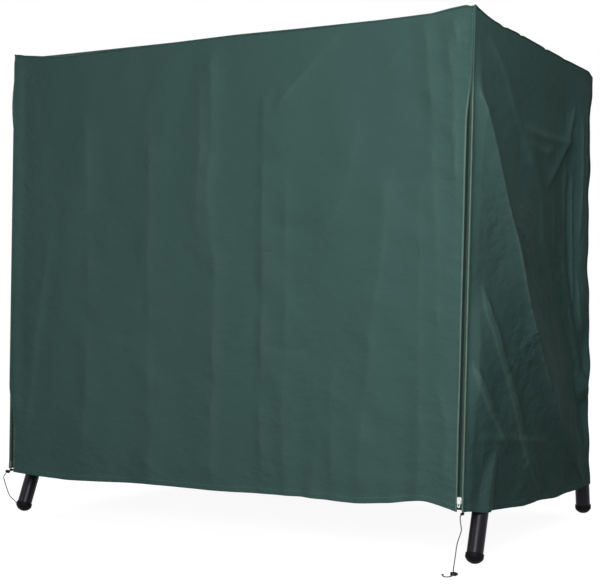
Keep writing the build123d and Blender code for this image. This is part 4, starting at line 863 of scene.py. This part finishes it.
def side_points(hand):
    """The panel's grid: from a narrow fold round the front edge, beside the zip, back
    to the rear seam, and up from the hem to the roof seam."""
    wrap_in = np.array([5.0, 4.8, 4.2, 3.0, 1.6, 0.6]) / MM
    wrap_out = np.array([-1.0, 0.5, 1.5, 1.9, 1.6, 0.9]) / MM
    start = np.array([0.0008, 0.0022, 0.0045, 0.0080, 0.013, 0.020]) / SIDE_DEPTH
    share = np.r_[start, np.linspace(start[-1], 1, SIDE_COLUMNS)[1:]]
    hem_y = FOOT_Y + share * (REAR_HEM_Y - FOOT_Y)
    top_y = TOP_Y + share * (REAR_TOP_Y - TOP_Y)
    hem, top = soft_line(SIDE_HEM, hem_y), soft_line(SIDE_TOP, top_y, SIDE_BLUR)
    top = top - sum(deep * np.exp(-((top_y - across) / wide) ** 2) for across, wide, deep in TUCKS)
    above = rows_from_hem(top - hem, PANEL_ROWS)
    z = hem[None, :] + above
    front_y = front_corner(z)[1]
    y = front_y + share[None, :] * (rear_corner(z)[1] - front_y)
    flat_x = side_sheet(y, z)
    lift, from_ridge = side_lift(y, z, hand)
    x = clear_of_stand(flat_x + lift, y, z)
    fade = smooth(y - front_y, 0.0, 0.05)
    x = flat_x * (1 - fade) + x * fade
    if hand < 0:
        swell = np.exp(-((y - front_y - 0.022) / 0.016) ** 2)
        x = x + 0.030 * swell * np.exp(-((z - 1.66) / 0.17) ** 2)
    x = x + hem_roll(above) + 0.0012 * np.exp(-(y - front_y) / 0.004)
    wrap_z = np.repeat(z[:, :1], len(wrap_in), 1)
    corner_x, corner_y = front_corner(wrap_z)
    wrap = np.stack([corner_x - wrap_in, corner_y - wrap_out, wrap_z], -1)
    points = np.concatenate([wrap, np.stack([x, y, z], -1)], 1)
    points[..., 0] *= hand
    chart = np.stack([np.concatenate([-0.0115 + 0 * wrap_z - wrap_in, y], 1),
                      np.concatenate([np.repeat(above[:, :1], len(wrap_in), 1), above], 1)], -1)
    # the ridge's crest, the fold lines and the zip edge are painted paler: painted highlight, partly wear
    rub = ridge_highlight_of(x, y, 0.010) * 0.20
    crest_highlight_reach = smooth(z, 0.14, 0.30) * smooth(1.45 - z, 0.0, 0.5)
    rub = rub + 0.60 * np.exp(-(from_ridge / 0.0055) ** 2) * crest_highlight_reach
    if hand > 0:
        seen_y = y + FOLD_SHIFT * (x - flat_x)
        rub = rub + 0.12 * fold_line_highlight(seen_y, z, SIDE_FOLDS, 0.005, 0.005, 0.002)
        rub = rub + 0.30 * fold_line_highlight(seen_y, z, SIDE_FOLDS[:2], 0.004, 0.006, 0.002)
    edge_highlight = edge_highlight_share(z)
    rub = rub + 0.7 * np.exp(-(y - front_y) / 0.0035) * edge_highlight
    rub = np.concatenate([np.repeat(edge_highlight[:, :1], len(wrap_in), 1), np.clip(rub, 0, 1)], 1)
    crumple = 0.22 + 0.25 * smooth(0.75 - z, 0, 0.5) + sum(
        high * np.exp(-((y - across) / wide) ** 2 - ((z - up) / tall) ** 2)
        for across, up, wide, tall, high in CRUMPLED)
    crumple = np.concatenate([np.full(wrap_z.shape, 0.2), np.clip(crumple, 0, 1)], 1)
    return points, chart, {"rub": rub, "crumple": crumple}


HANDS = ((1, "right"), (-1, "left"))
side_tops = {}
for hand, name in HANDS:
    points, chart, marks = side_points(hand)
    side_tops[hand] = points[-1]
    panel = cloth_grid("side_panel_" + name, points, chart, flip=hand < 0, marks=marks)
    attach(panel, "cover")
    hang(panel, "cover_side_" + name, flat=(1.26, 1.70), area=1.95, held="hung",
         rests_on=["canopy_side_tubes"])


# ------------------------------------------------------- weather cover: back
# The back panel falls from the rear roof seam and stands away from the rear
# legs. It is slack, with a few long upright folds.
SEAM_RISE = 0.0012
BACK_FALL = (back_high.y - back_low.y) / (back_high.z - back_low.z)
BACK_FOLDS = in_metres([
    ([(-720, 1700), (-660, 1100), (-700, 130)], 12, 30, 70),
    ([(-300, 1600), (-340, 900), (-280, 130)], 9, 25, 60),
    ([(100, 1720), (40, 1050), (90, 130)], 10, 30, 55),
    ([(460, 1500), (500, 800), (440, 130)], 8, 22, 60),
    ([(960, 1700), (780, 1300), (600, 950)], 9, 18, 45),
    ([(-960, 1700), (-800, 1360), (-550, 1020)], 8, 18, 40),
    ([(900, 1100), (760, 600), (800, 130)], 10, 25, 60)])


def rear_seam(x):
    """y and z of the seam between roof and back: level, dropping at both corners."""
    corner = np.exp(-(TOP_X - np.abs(x)) / 0.035)
    return back_low.y + 0.0015 + 0.0085 * corner, roof_low.z + SEAM_RISE - 0.014 * corner


BACK_COLUMNS, BACK_ROWS, BACK_HEM_Z = 150, 130, 0.121


def back_points():
    """The panel's grid: it leaves each rear seam quickly, then lies on a plane that
    slopes back to the hem, with upright folds that deepen downward."""
    run = at_edges(np.array([0, 0.004, 0.009, 0.016, 0.026, 0.040]) / TOP_X, BACK_COLUMNS)
    seam_y, seam_z = rear_seam(run * TOP_X)
    hem = BACK_HEM_Z + 0.004 * np.sin(run * 7.0) * (1 - run ** 2)
    above = rows_from_hem(seam_z - hem, BACK_ROWS)
    z = hem[None, :] + above
    corner_x, corner_y = rear_corner(z)
    x = run[None, :] * corner_x
    plane_y = back_low.y + (back_high.z - z) * BACK_FALL
    inward = (1 - np.abs(run))[None, :] * TOP_X
    y = corner_y + (plane_y - corner_y) * (1 - np.exp(-inward / 0.015))
    lift = folds_lift(x, z, BACK_FOLDS)
    lift = lift + 0.004 * ripple(x, z, 51, 0.5, 2.2) + 0.0015 * ripple(x, z, 52, 0.14, 0.5)
    lift = lift * smooth(inward, 0, 0.07) * smooth(back_high.z - z, 0.0, 0.15)
    y = y + lift + hem_roll(above) * smooth(inward, 0.0, 0.01)
    y = np.where(z > seam_z[None, :] - 0.001, seam_y[None, :], y)
    # ridges painted paler: painted highlight, partly wear
    marks = {"rub": ridge_highlight_of(lift, x, 0.012) * 0.2, "crumple": np.full(x.shape, 0.35)}
    return np.stack([x, y, z], -1), np.stack([x, above], -1), marks


points, chart, marks = back_points()
back_top = points[-1]
back_panel = cloth_grid("back_panel", points, chart, flip=True, marks=marks)
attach(back_panel, "cover")
hang(back_panel, "cover_back", flat=(2.04, 1.66), held="hung", rests_on=["canopy_rear_tube"])


# ------------------------------------------------------- weather cover: roof
# The roof panel lies over the canopy's front tube and slopes to the rear seam.
# It sags a little between the tubes, and its front corners stand up in ears.
ROOF_DEPTH, ROOF_ROWS, ROOF_SAG, WRAP_COLUMNS = 1.09, 90, 0.011, 6
REST_AHEAD, REST_BEHIND, REST_GAP = 0.040, 0.508, 0.0026


def roof_points():
    """The panel's grid: across from side seam to side seam, and from the front seam to
    the rear. Its height is a straight fall from just over the canopy's front tube, less
    a sag, drawn to the seams' heights at all four edges."""
    run = at_edges(np.array([0, 0.004, 0.010, 0.018, 0.030, 0.046]) / TOP_X, BACK_COLUMNS)
    fore = np.array([0, 0.004, 0.010, 0.018, 0.027, 0.036, 0.046, 0.060]) / ROOF_DEPTH
    depth = np.r_[fore, np.linspace(fore[-1], 1, ROOF_ROWS)[1:]]
    share = depth[:, None] + 0 * run[None, :]
    seam_y, seam_z = rear_seam(run * TOP_X)
    y = TOP_Y + share * (seam_y[None, :] - TOP_Y)
    x = run[None, :] * TOP_X + 0 * share
    tube_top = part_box("canopy_fabric")[1].z + CLOTH + REST_GAP
    ahead = TOP_Y + REST_AHEAD
    fall = (tube_top - (roof_low.z + SEAM_RISE)) / (REST_BEHIND - ahead)
    sag = ROOF_SAG * np.sin(math.pi * np.clip((y - ahead) / (REST_BEHIND - ahead), 0, 1))
    inside = tube_top - fall * np.maximum(y - ahead, 0) - sag * (1 + 0.35 * ripple(x, y, 61, 0.7, 0.7))
    inside = inside + 0.0014 * ripple(x, y, 62, 0.16, 0.2) * smooth(y, ahead, 0.0)
    front_z = soft_line(FRONT_TOP, run * TOP_X, SEAM_BLUR)[None, :]
    toward = smooth(y, TOP_Y, ahead)
    z = front_z * (1 - toward) + inside * toward
    edge = np.abs(x) - (TOP_X - 0.075)
    to_side = smooth(edge, 0.0, 0.075)
    z = z * (1 - to_side) + soft_line(SIDE_TOP, y, SIDE_BLUR) * to_side
    to_back = smooth(share, 0.955, 1.0)
    z = z * (1 - to_back) + seam_z[None, :] * to_back
    for column, hand in ((0, -1), (-1, 1)):
        line = side_tops[hand][WRAP_COLUMNS:]
        order = np.argsort(line[:, 1])
        x[:, column] = np.interp(y[:, column], line[order, 1], line[order, 0])
        z[:, column] = np.interp(y[:, column], line[order, 1], line[order, 2])
    chart = np.stack([x, y + 9.0], -1)
    # the side and front edges are painted paler: painted highlight, partly wear
    marks = {"rub": 0.25 * (1 - smooth(TOP_X - np.abs(x), 0.0, 0.006)) + 0.2 * (1 - toward),
             "crumple": np.full(x.shape, 0.45)}
    return np.stack([x, y, z], -1), chart, marks


points, chart, marks = roof_points()
roof_panel = cloth_grid("roof_panel", points, chart, marks=marks)
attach(roof_panel, "cover")
hang(roof_panel, "cover_roof", flat=(2.04, 1.11), held="draped",
     rests_on=["canopy_front_tube", "canopy_fabric"])


# ------------------------------------------------------------ cover: seams
# The panels are joined by felled seams, which show as a narrow raised welt
# of doubled cloth along the roof's four edges and down both rear corners.
WELT_LIFT, WELT_WIDTH, WELT_SIDES = 0.0011, 0.0062, 13
SEAM_STITCHES = 2094.0


def seam_paint(tree):
    """Doubled cloth, a little paler where it is rubbed, with a stitch every 3 mm."""
    place = tree.place("UV")
    stitch = (place.split()[0] * SEAM_STITCHES).sine().step(0.2, 0.7)
    cloud = place.noise(30.0, 3.0)
    tone = cloud.colour((0.032, 0.072, 0.064), (0.056, 0.104, 0.094))
    return {"Base Color": (stitch * 0.25).colour(tone, (0.085, 0.140, 0.128)),
            "Roughness": 0.50 + cloud * 0.1,
            "Normal": (stitch * 0.0002).bump()}


seam_cloth = finish_of("seam_cloth", seam_paint, Specular_IOR_Level=0.01)


def welt(name, line, across, lift=WELT_LIFT, width=WELT_WIDTH):
    """A shallow rounded strip along a line: an ellipse, width across and twice lift
    high, half of it sunk in the cloth, carried along the line's points."""
    turn = np.linspace(0, 2 * math.pi, WELT_SIDES)[:-1]
    way = np.gradient(line, axis=0)
    way /= np.linalg.norm(way, axis=1)[:, None]
    across = np.array([across]) + 0 * line
    across = across - (across * way).sum(1)[:, None] * way
    across /= np.linalg.norm(across, axis=1)[:, None]
    out = np.cross(way, across)
    ring = (across[:, None, :] * (np.cos(turn) * width / 2)[None, :, None]
            + out[:, None, :] * (np.sin(turn) * lift)[None, :, None])
    points = line[:, None, :] + ring
    points = np.concatenate([points, points[:, :1]], 1)
    run = np.r_[0, np.cumsum(np.linalg.norm(np.diff(line, axis=0), axis=1))]
    around = np.linspace(0, 0.008, WELT_SIDES)
    chart = np.stack([run[:, None] + 0 * around, around + 0 * run[:, None]], -1)
    piece = cloth_grid(name, points, chart, flip=True)
    piece.modifiers.new("close", "WELD").merge_threshold = 0.00001
    piece.data.materials.append(seam_cloth)
    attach(piece, "cover")


for hand, name in HANDS:
    welt("roof_seam_" + name, side_tops[hand][WRAP_COLUMNS - 1:] + (0, 0, 0.0002), (0.7 * hand, 0, -0.7))
    up = np.linspace(0.123, 1.738, 150)
    seam_x, seam_y = rear_corner(up)
    rear_line = np.stack([hand * seam_x, seam_y, up], -1)
    welt("rear_seam_" + name, rear_line, (0.7 * hand, -0.7, 0), 0.0012, 0.0064)
welt("roof_seam_back", back_top + (0, 0, 0.0002), (0, 0.7, -0.7))
front_x = np.linspace(-TOP_X, TOP_X, 220)
front_z = soft_line(FRONT_TOP, front_x, SEAM_BLUR) + 0.0001
welt("roof_seam_front", np.stack([front_x, 0 * front_x + TOP_Y - 0.0004, front_z], -1), (0, -0.6, -0.8),
     WELT_LIFT, 0.0060)


# ------------------------------------------------------------ cover: zips
# A coil zip runs up each front edge. One woven tape and its row of teeth
# belongs to the side panel, the other to the front panel.
# Distances in from the corner line, in millimetres.
TAPE = {"side": (1.4, 13.45), "front": (13.55, 25.6)}
TEETH = {"side": (9.4, 13.3), "front": (13.1, 17.6)}
ZIP_FOOT, ZIP_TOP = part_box("side_zip_tapes")[0].z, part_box("side_zip_tapes")[1].z
TOOTH_PITCH, TOOTH_AHEAD, TAPE_THICK = 0.0024, 0.00095, 0.0007
TAPE_RIBS = (7800.0, 6300.0)


def tape_paint(tree, dark, pale):
    """Close-ribbed woven tape, painted darker between its ribs as painted shade in the grooves."""
    place = tree.place("UV")
    across, up, _ = place.split()
    rib = (across * TAPE_RIBS[0]).sine() * 0.5 + (up * TAPE_RIBS[1]).sine() * 0.5
    cloud = place.noise(40.0, 3.0)
    return {"Base Color": (rib * 0.3 + cloud * 0.7).colour(dark, pale),
            "Roughness": 0.7 + cloud * 0.15,
            "Normal": (rib * 0.00006).bump()}


def teeth_paint(tree):
    """Moulded nylon coil in near-black green, in cloudy tones."""
    place = tree.place()
    cloud = place.noise(500.0, 2.0)
    return {"Base Color": cloud.colour((0.004, 0.012, 0.010), (0.012, 0.028, 0.024)),
            "Roughness": 0.35 + cloud * 0.2,
            "Normal": (cloud * 0.00005).bump()}


# The front tape is painted near black, as painted shade in the slot beside the front panel's rolled edge;
# the side tape has the zip's own tone.
TAPE_TONES_FRONT_SHADED = {"side": ((0.022, 0.048, 0.036), (0.040, 0.078, 0.060)),
              "front": ((0.003, 0.010, 0.008), (0.010, 0.026, 0.020))}
TAPE_CLOTH = {row: finish_of("zip_tape_" + row, lambda tree, tones=tones: tape_paint(tree, *tones),
                             Specular_IOR_Level=0.12)
              for row, tones in TAPE_TONES_FRONT_SHADED.items()}
zip_teeth = finish_of("zip_teeth", teeth_paint, Specular_IOR_Level=0.2)


def tape_strip(name, hand, near, far, finish):
    """A flat strip 0.7 mm thick between two distances in from the corner line."""
    up = np.linspace(ZIP_FOOT, ZIP_TOP, 110)
    inset = np.linspace(near, far, 6) / MM
    z = up[:, None] + 0 * inset[None, :]
    corner_x, plane_y = front_corner(z)
    bow = 0.00025 * np.sin(np.linspace(0, math.pi, 6))[None, :]
    points = np.stack([hand * (corner_x - inset[None, :]), plane_y + TAPE_THICK - bow, z], -1)
    chart = np.stack([inset[None, :] + 0 * z, z], -1)
    piece = cloth_grid(name, points, chart, flip=hand > 0)
    thicken(piece, TAPE_THICK)
    piece.data.materials.append(finish)
    return piece


def tooth_row(name, hand, near, far, start):
    """A row of teeth: each is a bar with a rounded, swollen tip, six rings of six
    points along it, repeated up the tape at an even pitch."""
    tip, root = (far, near) if start == 0 else (near, far)
    span = np.array([0.0, 0.05, 0.45, 0.70, 0.92, 1.0])
    half_high = np.array([0.30, 0.42, 0.42, 0.62, 0.55, 0.25]) / MM
    half_thick = np.array([0.50, 0.75, 0.75, 0.95, 0.85, 0.40]) / MM
    turn = np.linspace(0, 2 * math.pi, 7)[:-1]
    inset = (root + (tip - root) * span) / MM
    up = np.arange(ZIP_FOOT + 0.002 + start, ZIP_TOP - 0.002, TOOTH_PITCH)
    z = up[:, None, None] + half_high[None, :, None] * np.cos(turn)[None, None, :]
    corner_x, plane_y = front_corner(up[:, None, None] + 0 * z)
    x = hand * (corner_x - inset[None, :, None])
    y = plane_y + TOOTH_AHEAD + half_thick[None, :, None] * np.sin(turn)[None, None, :]
    points = np.stack([x, y, z], -1)
    number = np.arange(len(up) * 36).reshape(-1, 6, 6)
    wrapped = np.roll(number, -1, 2)
    sides = np.stack([number[:, :-1], wrapped[:, :-1], wrapped[:, 1:], number[:, 1:]], -1).reshape(-1, 4)
    lids = np.concatenate([number[:, 0, ::-1], number[:, -1, :]])
    mesh = bpy.data.meshes.new(name)
    mesh.from_pydata(points.reshape(-1, 3).tolist(), [], sides.tolist() + lids.tolist())
    mesh.polygons.foreach_set("use_smooth", np.ones(len(mesh.polygons), bool))
    if (hand > 0) == (tip > root):
        mesh.flip_normals()
    mesh.materials.append(zip_teeth)
    piece = add_object(name, mesh)
    return piece


for hand, name in HANDS:
    for row, start in (("side", 0.0), ("front", TOOTH_PITCH / 2)):
        tape = tape_strip("zip_tape_" + row + "_" + name, hand, *TAPE[row], TAPE_CLOTH[row])
        teeth = tooth_row("zip_teeth_" + row + "_" + name, hand, *TEETH[row], start)
        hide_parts(row + "_zip_tapes")
        for piece in (tape, teeth):
            if row == "side":
                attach(piece, "cover")
            else:
                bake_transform(piece)


# ---------------------------------------------------- cover: sliders and pulls
# Cast zip sliders, each with a pull that turns on its lug: the right one is
# bright, and the left one is painted dark, as painted shade for the same metal in shadow.
def casting(name, dark, pale, rough, rougher):
    """A tumbled casting: slow clouds between two tones, and hair scratches that take its
    roughness from rough up by as much as rougher."""
    def paint(tree):
        place = tree.place()
        cloud = place.noise(400.0, 3.0)
        scratch = place.noise(3000.0, 2.0, (1.0, 1.0, 0.1))
        return {"Base Color": cloud.colour(dark, pale),
                "Roughness": rough + scratch * rougher,
                "Normal": (scratch * 0.00002).bump()}
    return finish_of(name, paint, Metallic=1.0)


dress(["zip_slider_right", "zip_pull_right"],
      casting("bright_casting", (0.72, 0.73, 0.74), (0.86, 0.86, 0.86), 0.18, 0.16))
# the left slider and pull: painted shade
dress(["zip_slider_left", "zip_pull_left"],
      casting("shaded_casting", (0.05, 0.055, 0.055), (0.12, 0.125, 0.12), 0.26, 0.18))


# ------------------------------------------------------------ canopy cloth
# Woven beige canvas stretched between the canopy's front and rear tubes, with
# a sleeve sewn round each tube.
CANVAS_WEAVE, CANVAS_THICK = 5200.0, 0.0009
ARC_POINTS, SPAN_POINTS, CANOPY_COLUMNS = 16, 70, 120


def canvas_paint(tree):
    """Coarse plain weave with slubs both ways, and slow shade changes."""
    place = tree.place("UV")
    across, up, _ = place.split()
    weave = (across * CANVAS_WEAVE).sine() * (up * CANVAS_WEAVE).sine()
    slub = place.noise(500.0, 3.0, (1.0, 0.08, 1.0)) * 0.5
    slub = slub + place.noise(500.0, 3.0, (0.08, 1.0, 1.0)) * 0.5
    cloud = place.noise(6.0, 3.0)
    tone = (slub * 0.6 + cloud * 0.4).colour((0.42, 0.365, 0.275), (0.58, 0.52, 0.41))
    return {"Base Color": tone, "Roughness": 0.82 + weave * 0.05,
            "Normal": (weave * 0.00004 + slub * 0.0003 + cloud * 0.002).bump()}


canvas = finish_of("canvas", canvas_paint, Specular_IOR_Level=0.25, Sheen_Weight=0.15)


def canopy_points():
    """A section carried across: down inside each sleeve, over its tube on a radius of
    14 mm, and between the tubes a line that sags 14 mm at mid-width and 6 at the ends."""
    low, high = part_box("canopy_front_tube")
    rear_low, rear_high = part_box("canopy_rear_tube")
    fore = np.array([(low.y + high.y) / 2, (low.z + high.z) / 2])
    aft = np.array([(rear_low.y + rear_high.y) / 2, (rear_low.z + rear_high.z) / 2])
    radius = (high.z - low.z) / 2 + 0.0014
    tilt = math.atan2(aft[1] - fore[1], aft[0] - fore[0])
    first = np.linspace(math.pi * 1.45, math.pi / 2 + tilt, ARC_POINTS)
    last = np.linspace(math.pi / 2 + tilt, -math.pi * 0.45, ARC_POINTS)
    front_arc = fore + radius * np.stack([np.cos(first), np.sin(first)], -1)
    rear_arc = aft + radius * np.stack([np.cos(last), np.sin(last)], -1)
    t = np.linspace(0, 1, SPAN_POINTS)[1:-1, None]
    span = front_arc[-1] + (rear_arc[0] - front_arc[-1]) * t
    section = np.concatenate([front_arc, span, rear_arc])
    fall = np.r_[np.zeros(ARC_POINTS), np.sin(math.pi * t[:, 0]), np.zeros(ARC_POINTS)]
    half_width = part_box("canopy_fabric")[1].x
    x = np.linspace(-half_width, half_width, CANOPY_COLUMNS)
    y = section[:, :1] + 0 * x[None, :]
    z = section[:, 1:] - fall[:, None] * (0.010 + 0.004 * np.cos(math.pi * x / half_width)[None, :])
    z = z + fall[:, None] * 0.0008 * ripple(x[None, :], y, 71, 0.25, 0.3)
    run = np.r_[0, np.cumsum(np.linalg.norm(np.diff(section, axis=0), axis=1))]
    chart = np.stack([x[None, :] + 0 * y, run[:, None] + 0 * y], -1)
    return np.stack([x[None, :] + 0 * y, y, z], -1), chart


points, chart = canopy_points()
canopy_sheet = cloth_grid("canopy_sheet", points, chart)
thicken(canopy_sheet, CANVAS_THICK)
canopy_sheet.data.materials.append(canvas)
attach(canopy_sheet, "canopy")
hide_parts("canopy_fabric")


# ---------------------------------------------------------------- cushions
# Foam pads in woven beige cloth with sewn channels from front to back and a
# piped edge: one on the seat slats, one leaning on the back slats.
PAD_WEAVE = 3900.0


def pad_paint(tree):
    """Basket weave in the cloth, seen on the object itself, with slow shade changes."""
    place = tree.place()
    across, deep, up = place.split()
    weave = (across * PAD_WEAVE).sine() * ((deep + up) * PAD_WEAVE).sine()
    slub = place.noise(420.0, 3.0, (0.1, 1.0, 1.0))
    cloud = place.noise(5.0, 3.0)
    tone = (slub * 0.55 + cloud * 0.45).colour((0.43, 0.375, 0.285), (0.60, 0.54, 0.43))
    return {"Base Color": tone, "Roughness": 0.85 + weave * 0.04,
            "Normal": (weave * 0.00006 + slub * 0.00035 + cloud * 0.0015).bump()}


def piping_paint(tree):
    """The same cloth cut on the bias, a little darker than the pad's cloth."""
    place = tree.place()
    slub = place.noise(520.0, 3.0)
    cloud = place.noise(7.0, 3.0)
    tone = (slub * 0.6 + cloud * 0.4).colour((0.34, 0.29, 0.215), (0.50, 0.44, 0.34))
    return {"Base Color": tone, "Roughness": 0.82 + slub * 0.08,
            "Normal": (slub * 0.0005).bump()}


pad_cloth = finish_of("pad_cloth", pad_paint, Specular_IOR_Level=0.22, Sheen_Weight=0.2)
piping_cloth = finish_of("piping_cloth", piping_paint, Specular_IOR_Level=0.22)
CHANNELS, CHANNEL_GAP = np.array([-0.54, -0.27, 0.0, 0.27, 0.54]), 0.27
PIPING_THICK, END_ROUND = 0.0060, 0.050
SQUARE_Y, SQUARE_Z, CROWN, STITCH_DIP, STITCH_WIDE = 0.32, 0.45, 0.10, 0.30, 0.011


def pad_points(half_width, depth, thickness):
    """A closed pad lying flat: a rounded loop, crowned on top and flat below, carried
    along x. Its thickness dips at each sewn channel, and both ends round in to a line."""
    dense = (CHANNELS[:, None] + np.linspace(-0.03, 0.03, 13)[None, :]).ravel()
    ends = half_width * (1 - (1 - np.cos(np.linspace(0, math.pi / 2, 12))) * 0.10)
    middle = np.linspace(-half_width * 0.9, half_width * 0.9, 120)
    x = np.unique(np.round(np.r_[middle, dense, ends, -ends], 5))
    turn = np.linspace(0, 2 * math.pi, 97)
    c, s = np.cos(turn), np.sin(turn)
    loop_y = np.sign(c) * np.abs(c) ** SQUARE_Y * depth / 2
    loop_z = np.sign(s) * np.abs(s) ** SQUARE_Z * thickness / 2
    crown = np.clip(1 - (2 * loop_y / depth) ** 2, 0, 1)
    near_end = np.clip((half_width - np.abs(x)) / END_ROUND, 0, 1)
    closing = np.sqrt(1 - (1 - near_end) ** 2)
    stitch = np.exp(-(np.abs(x[:, None] - CHANNELS[None, :]) / STITCH_WIDE)).max(1)
    top = loop_z > 0
    z = loop_z[None, :] * (0.25 + 0.75 * closing[:, None])
    z = np.where(top[None, :], z * (1 - CROWN + CROWN * crown[None, :]), z)
    z = z - np.where(top[None, :], STITCH_DIP * thickness * stitch[:, None] * crown[None, :] ** 0.4, 0)
    z = z * np.where(near_end[:, None] < 1e-6, 0.0, 1.0)
    pull = 0.006 * np.cos(2 * math.pi * x / CHANNEL_GAP)[:, None] * np.sign(loop_y)[None, :]
    y = loop_y[None, :] * (0.955 + 0.045 * closing[:, None]) - pull * 0.6
    y = y * np.where(near_end[:, None] < 1e-6, 0.9, 1.0)
    wrinkle = 0.0018 * ripple(x[:, None], y, 81, 0.12, 0.10) * top[None, :]
    return np.stack([x[:, None] + 0 * y, y, z + wrinkle * closing[:, None]], -1)


def pad(name, node, turn, depth, thickness):
    """A pad leaned by an angle about x in the middle of a node's box, and the corded
    piping sewn round it: a closed smooth line through points of the pad's own edge."""
    low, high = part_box(node)
    c, s = math.cos(turn), math.sin(turn)
    lean = np.array([[1, 0, 0], [0, c, s], [0, -s, c]])
    points = pad_points(high.x, depth, thickness)
    place = np.array((0, (low.y + high.y) / 2, (low.z + high.z) / 2))
    pad_piece = cloth_grid(name, points @ lean + place, points[..., :2], flip=True)
    pad_piece.modifiers.new("close", "WELD").merge_threshold = 0.00002
    half_turn = points.shape[1] // 2
    edge = np.concatenate([points[1:-1:4, 0], points[-2:0:-4, half_turn]])
    cording = soft_curve(name + "_piping", edge @ lean + place, PIPING_THICK, True, (2, 3))
    for piece, finish in ((pad_piece, pad_cloth), (cording, piping_cloth)):
        piece.data.materials.append(finish)
        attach(piece, "bench")
    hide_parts(node)
    return pad_piece


BACK_LEAN = math.radians(17.0)
seat_low, seat_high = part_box("seat_cushion")
seat_pad = pad("seat_pad", "seat_cushion", 0.0, seat_high.y - seat_low.y, seat_high.z - seat_low.z)
back_pad = pad("back_pad", "back_cushion", math.pi / 2 - BACK_LEAN, 0.472, 0.083)
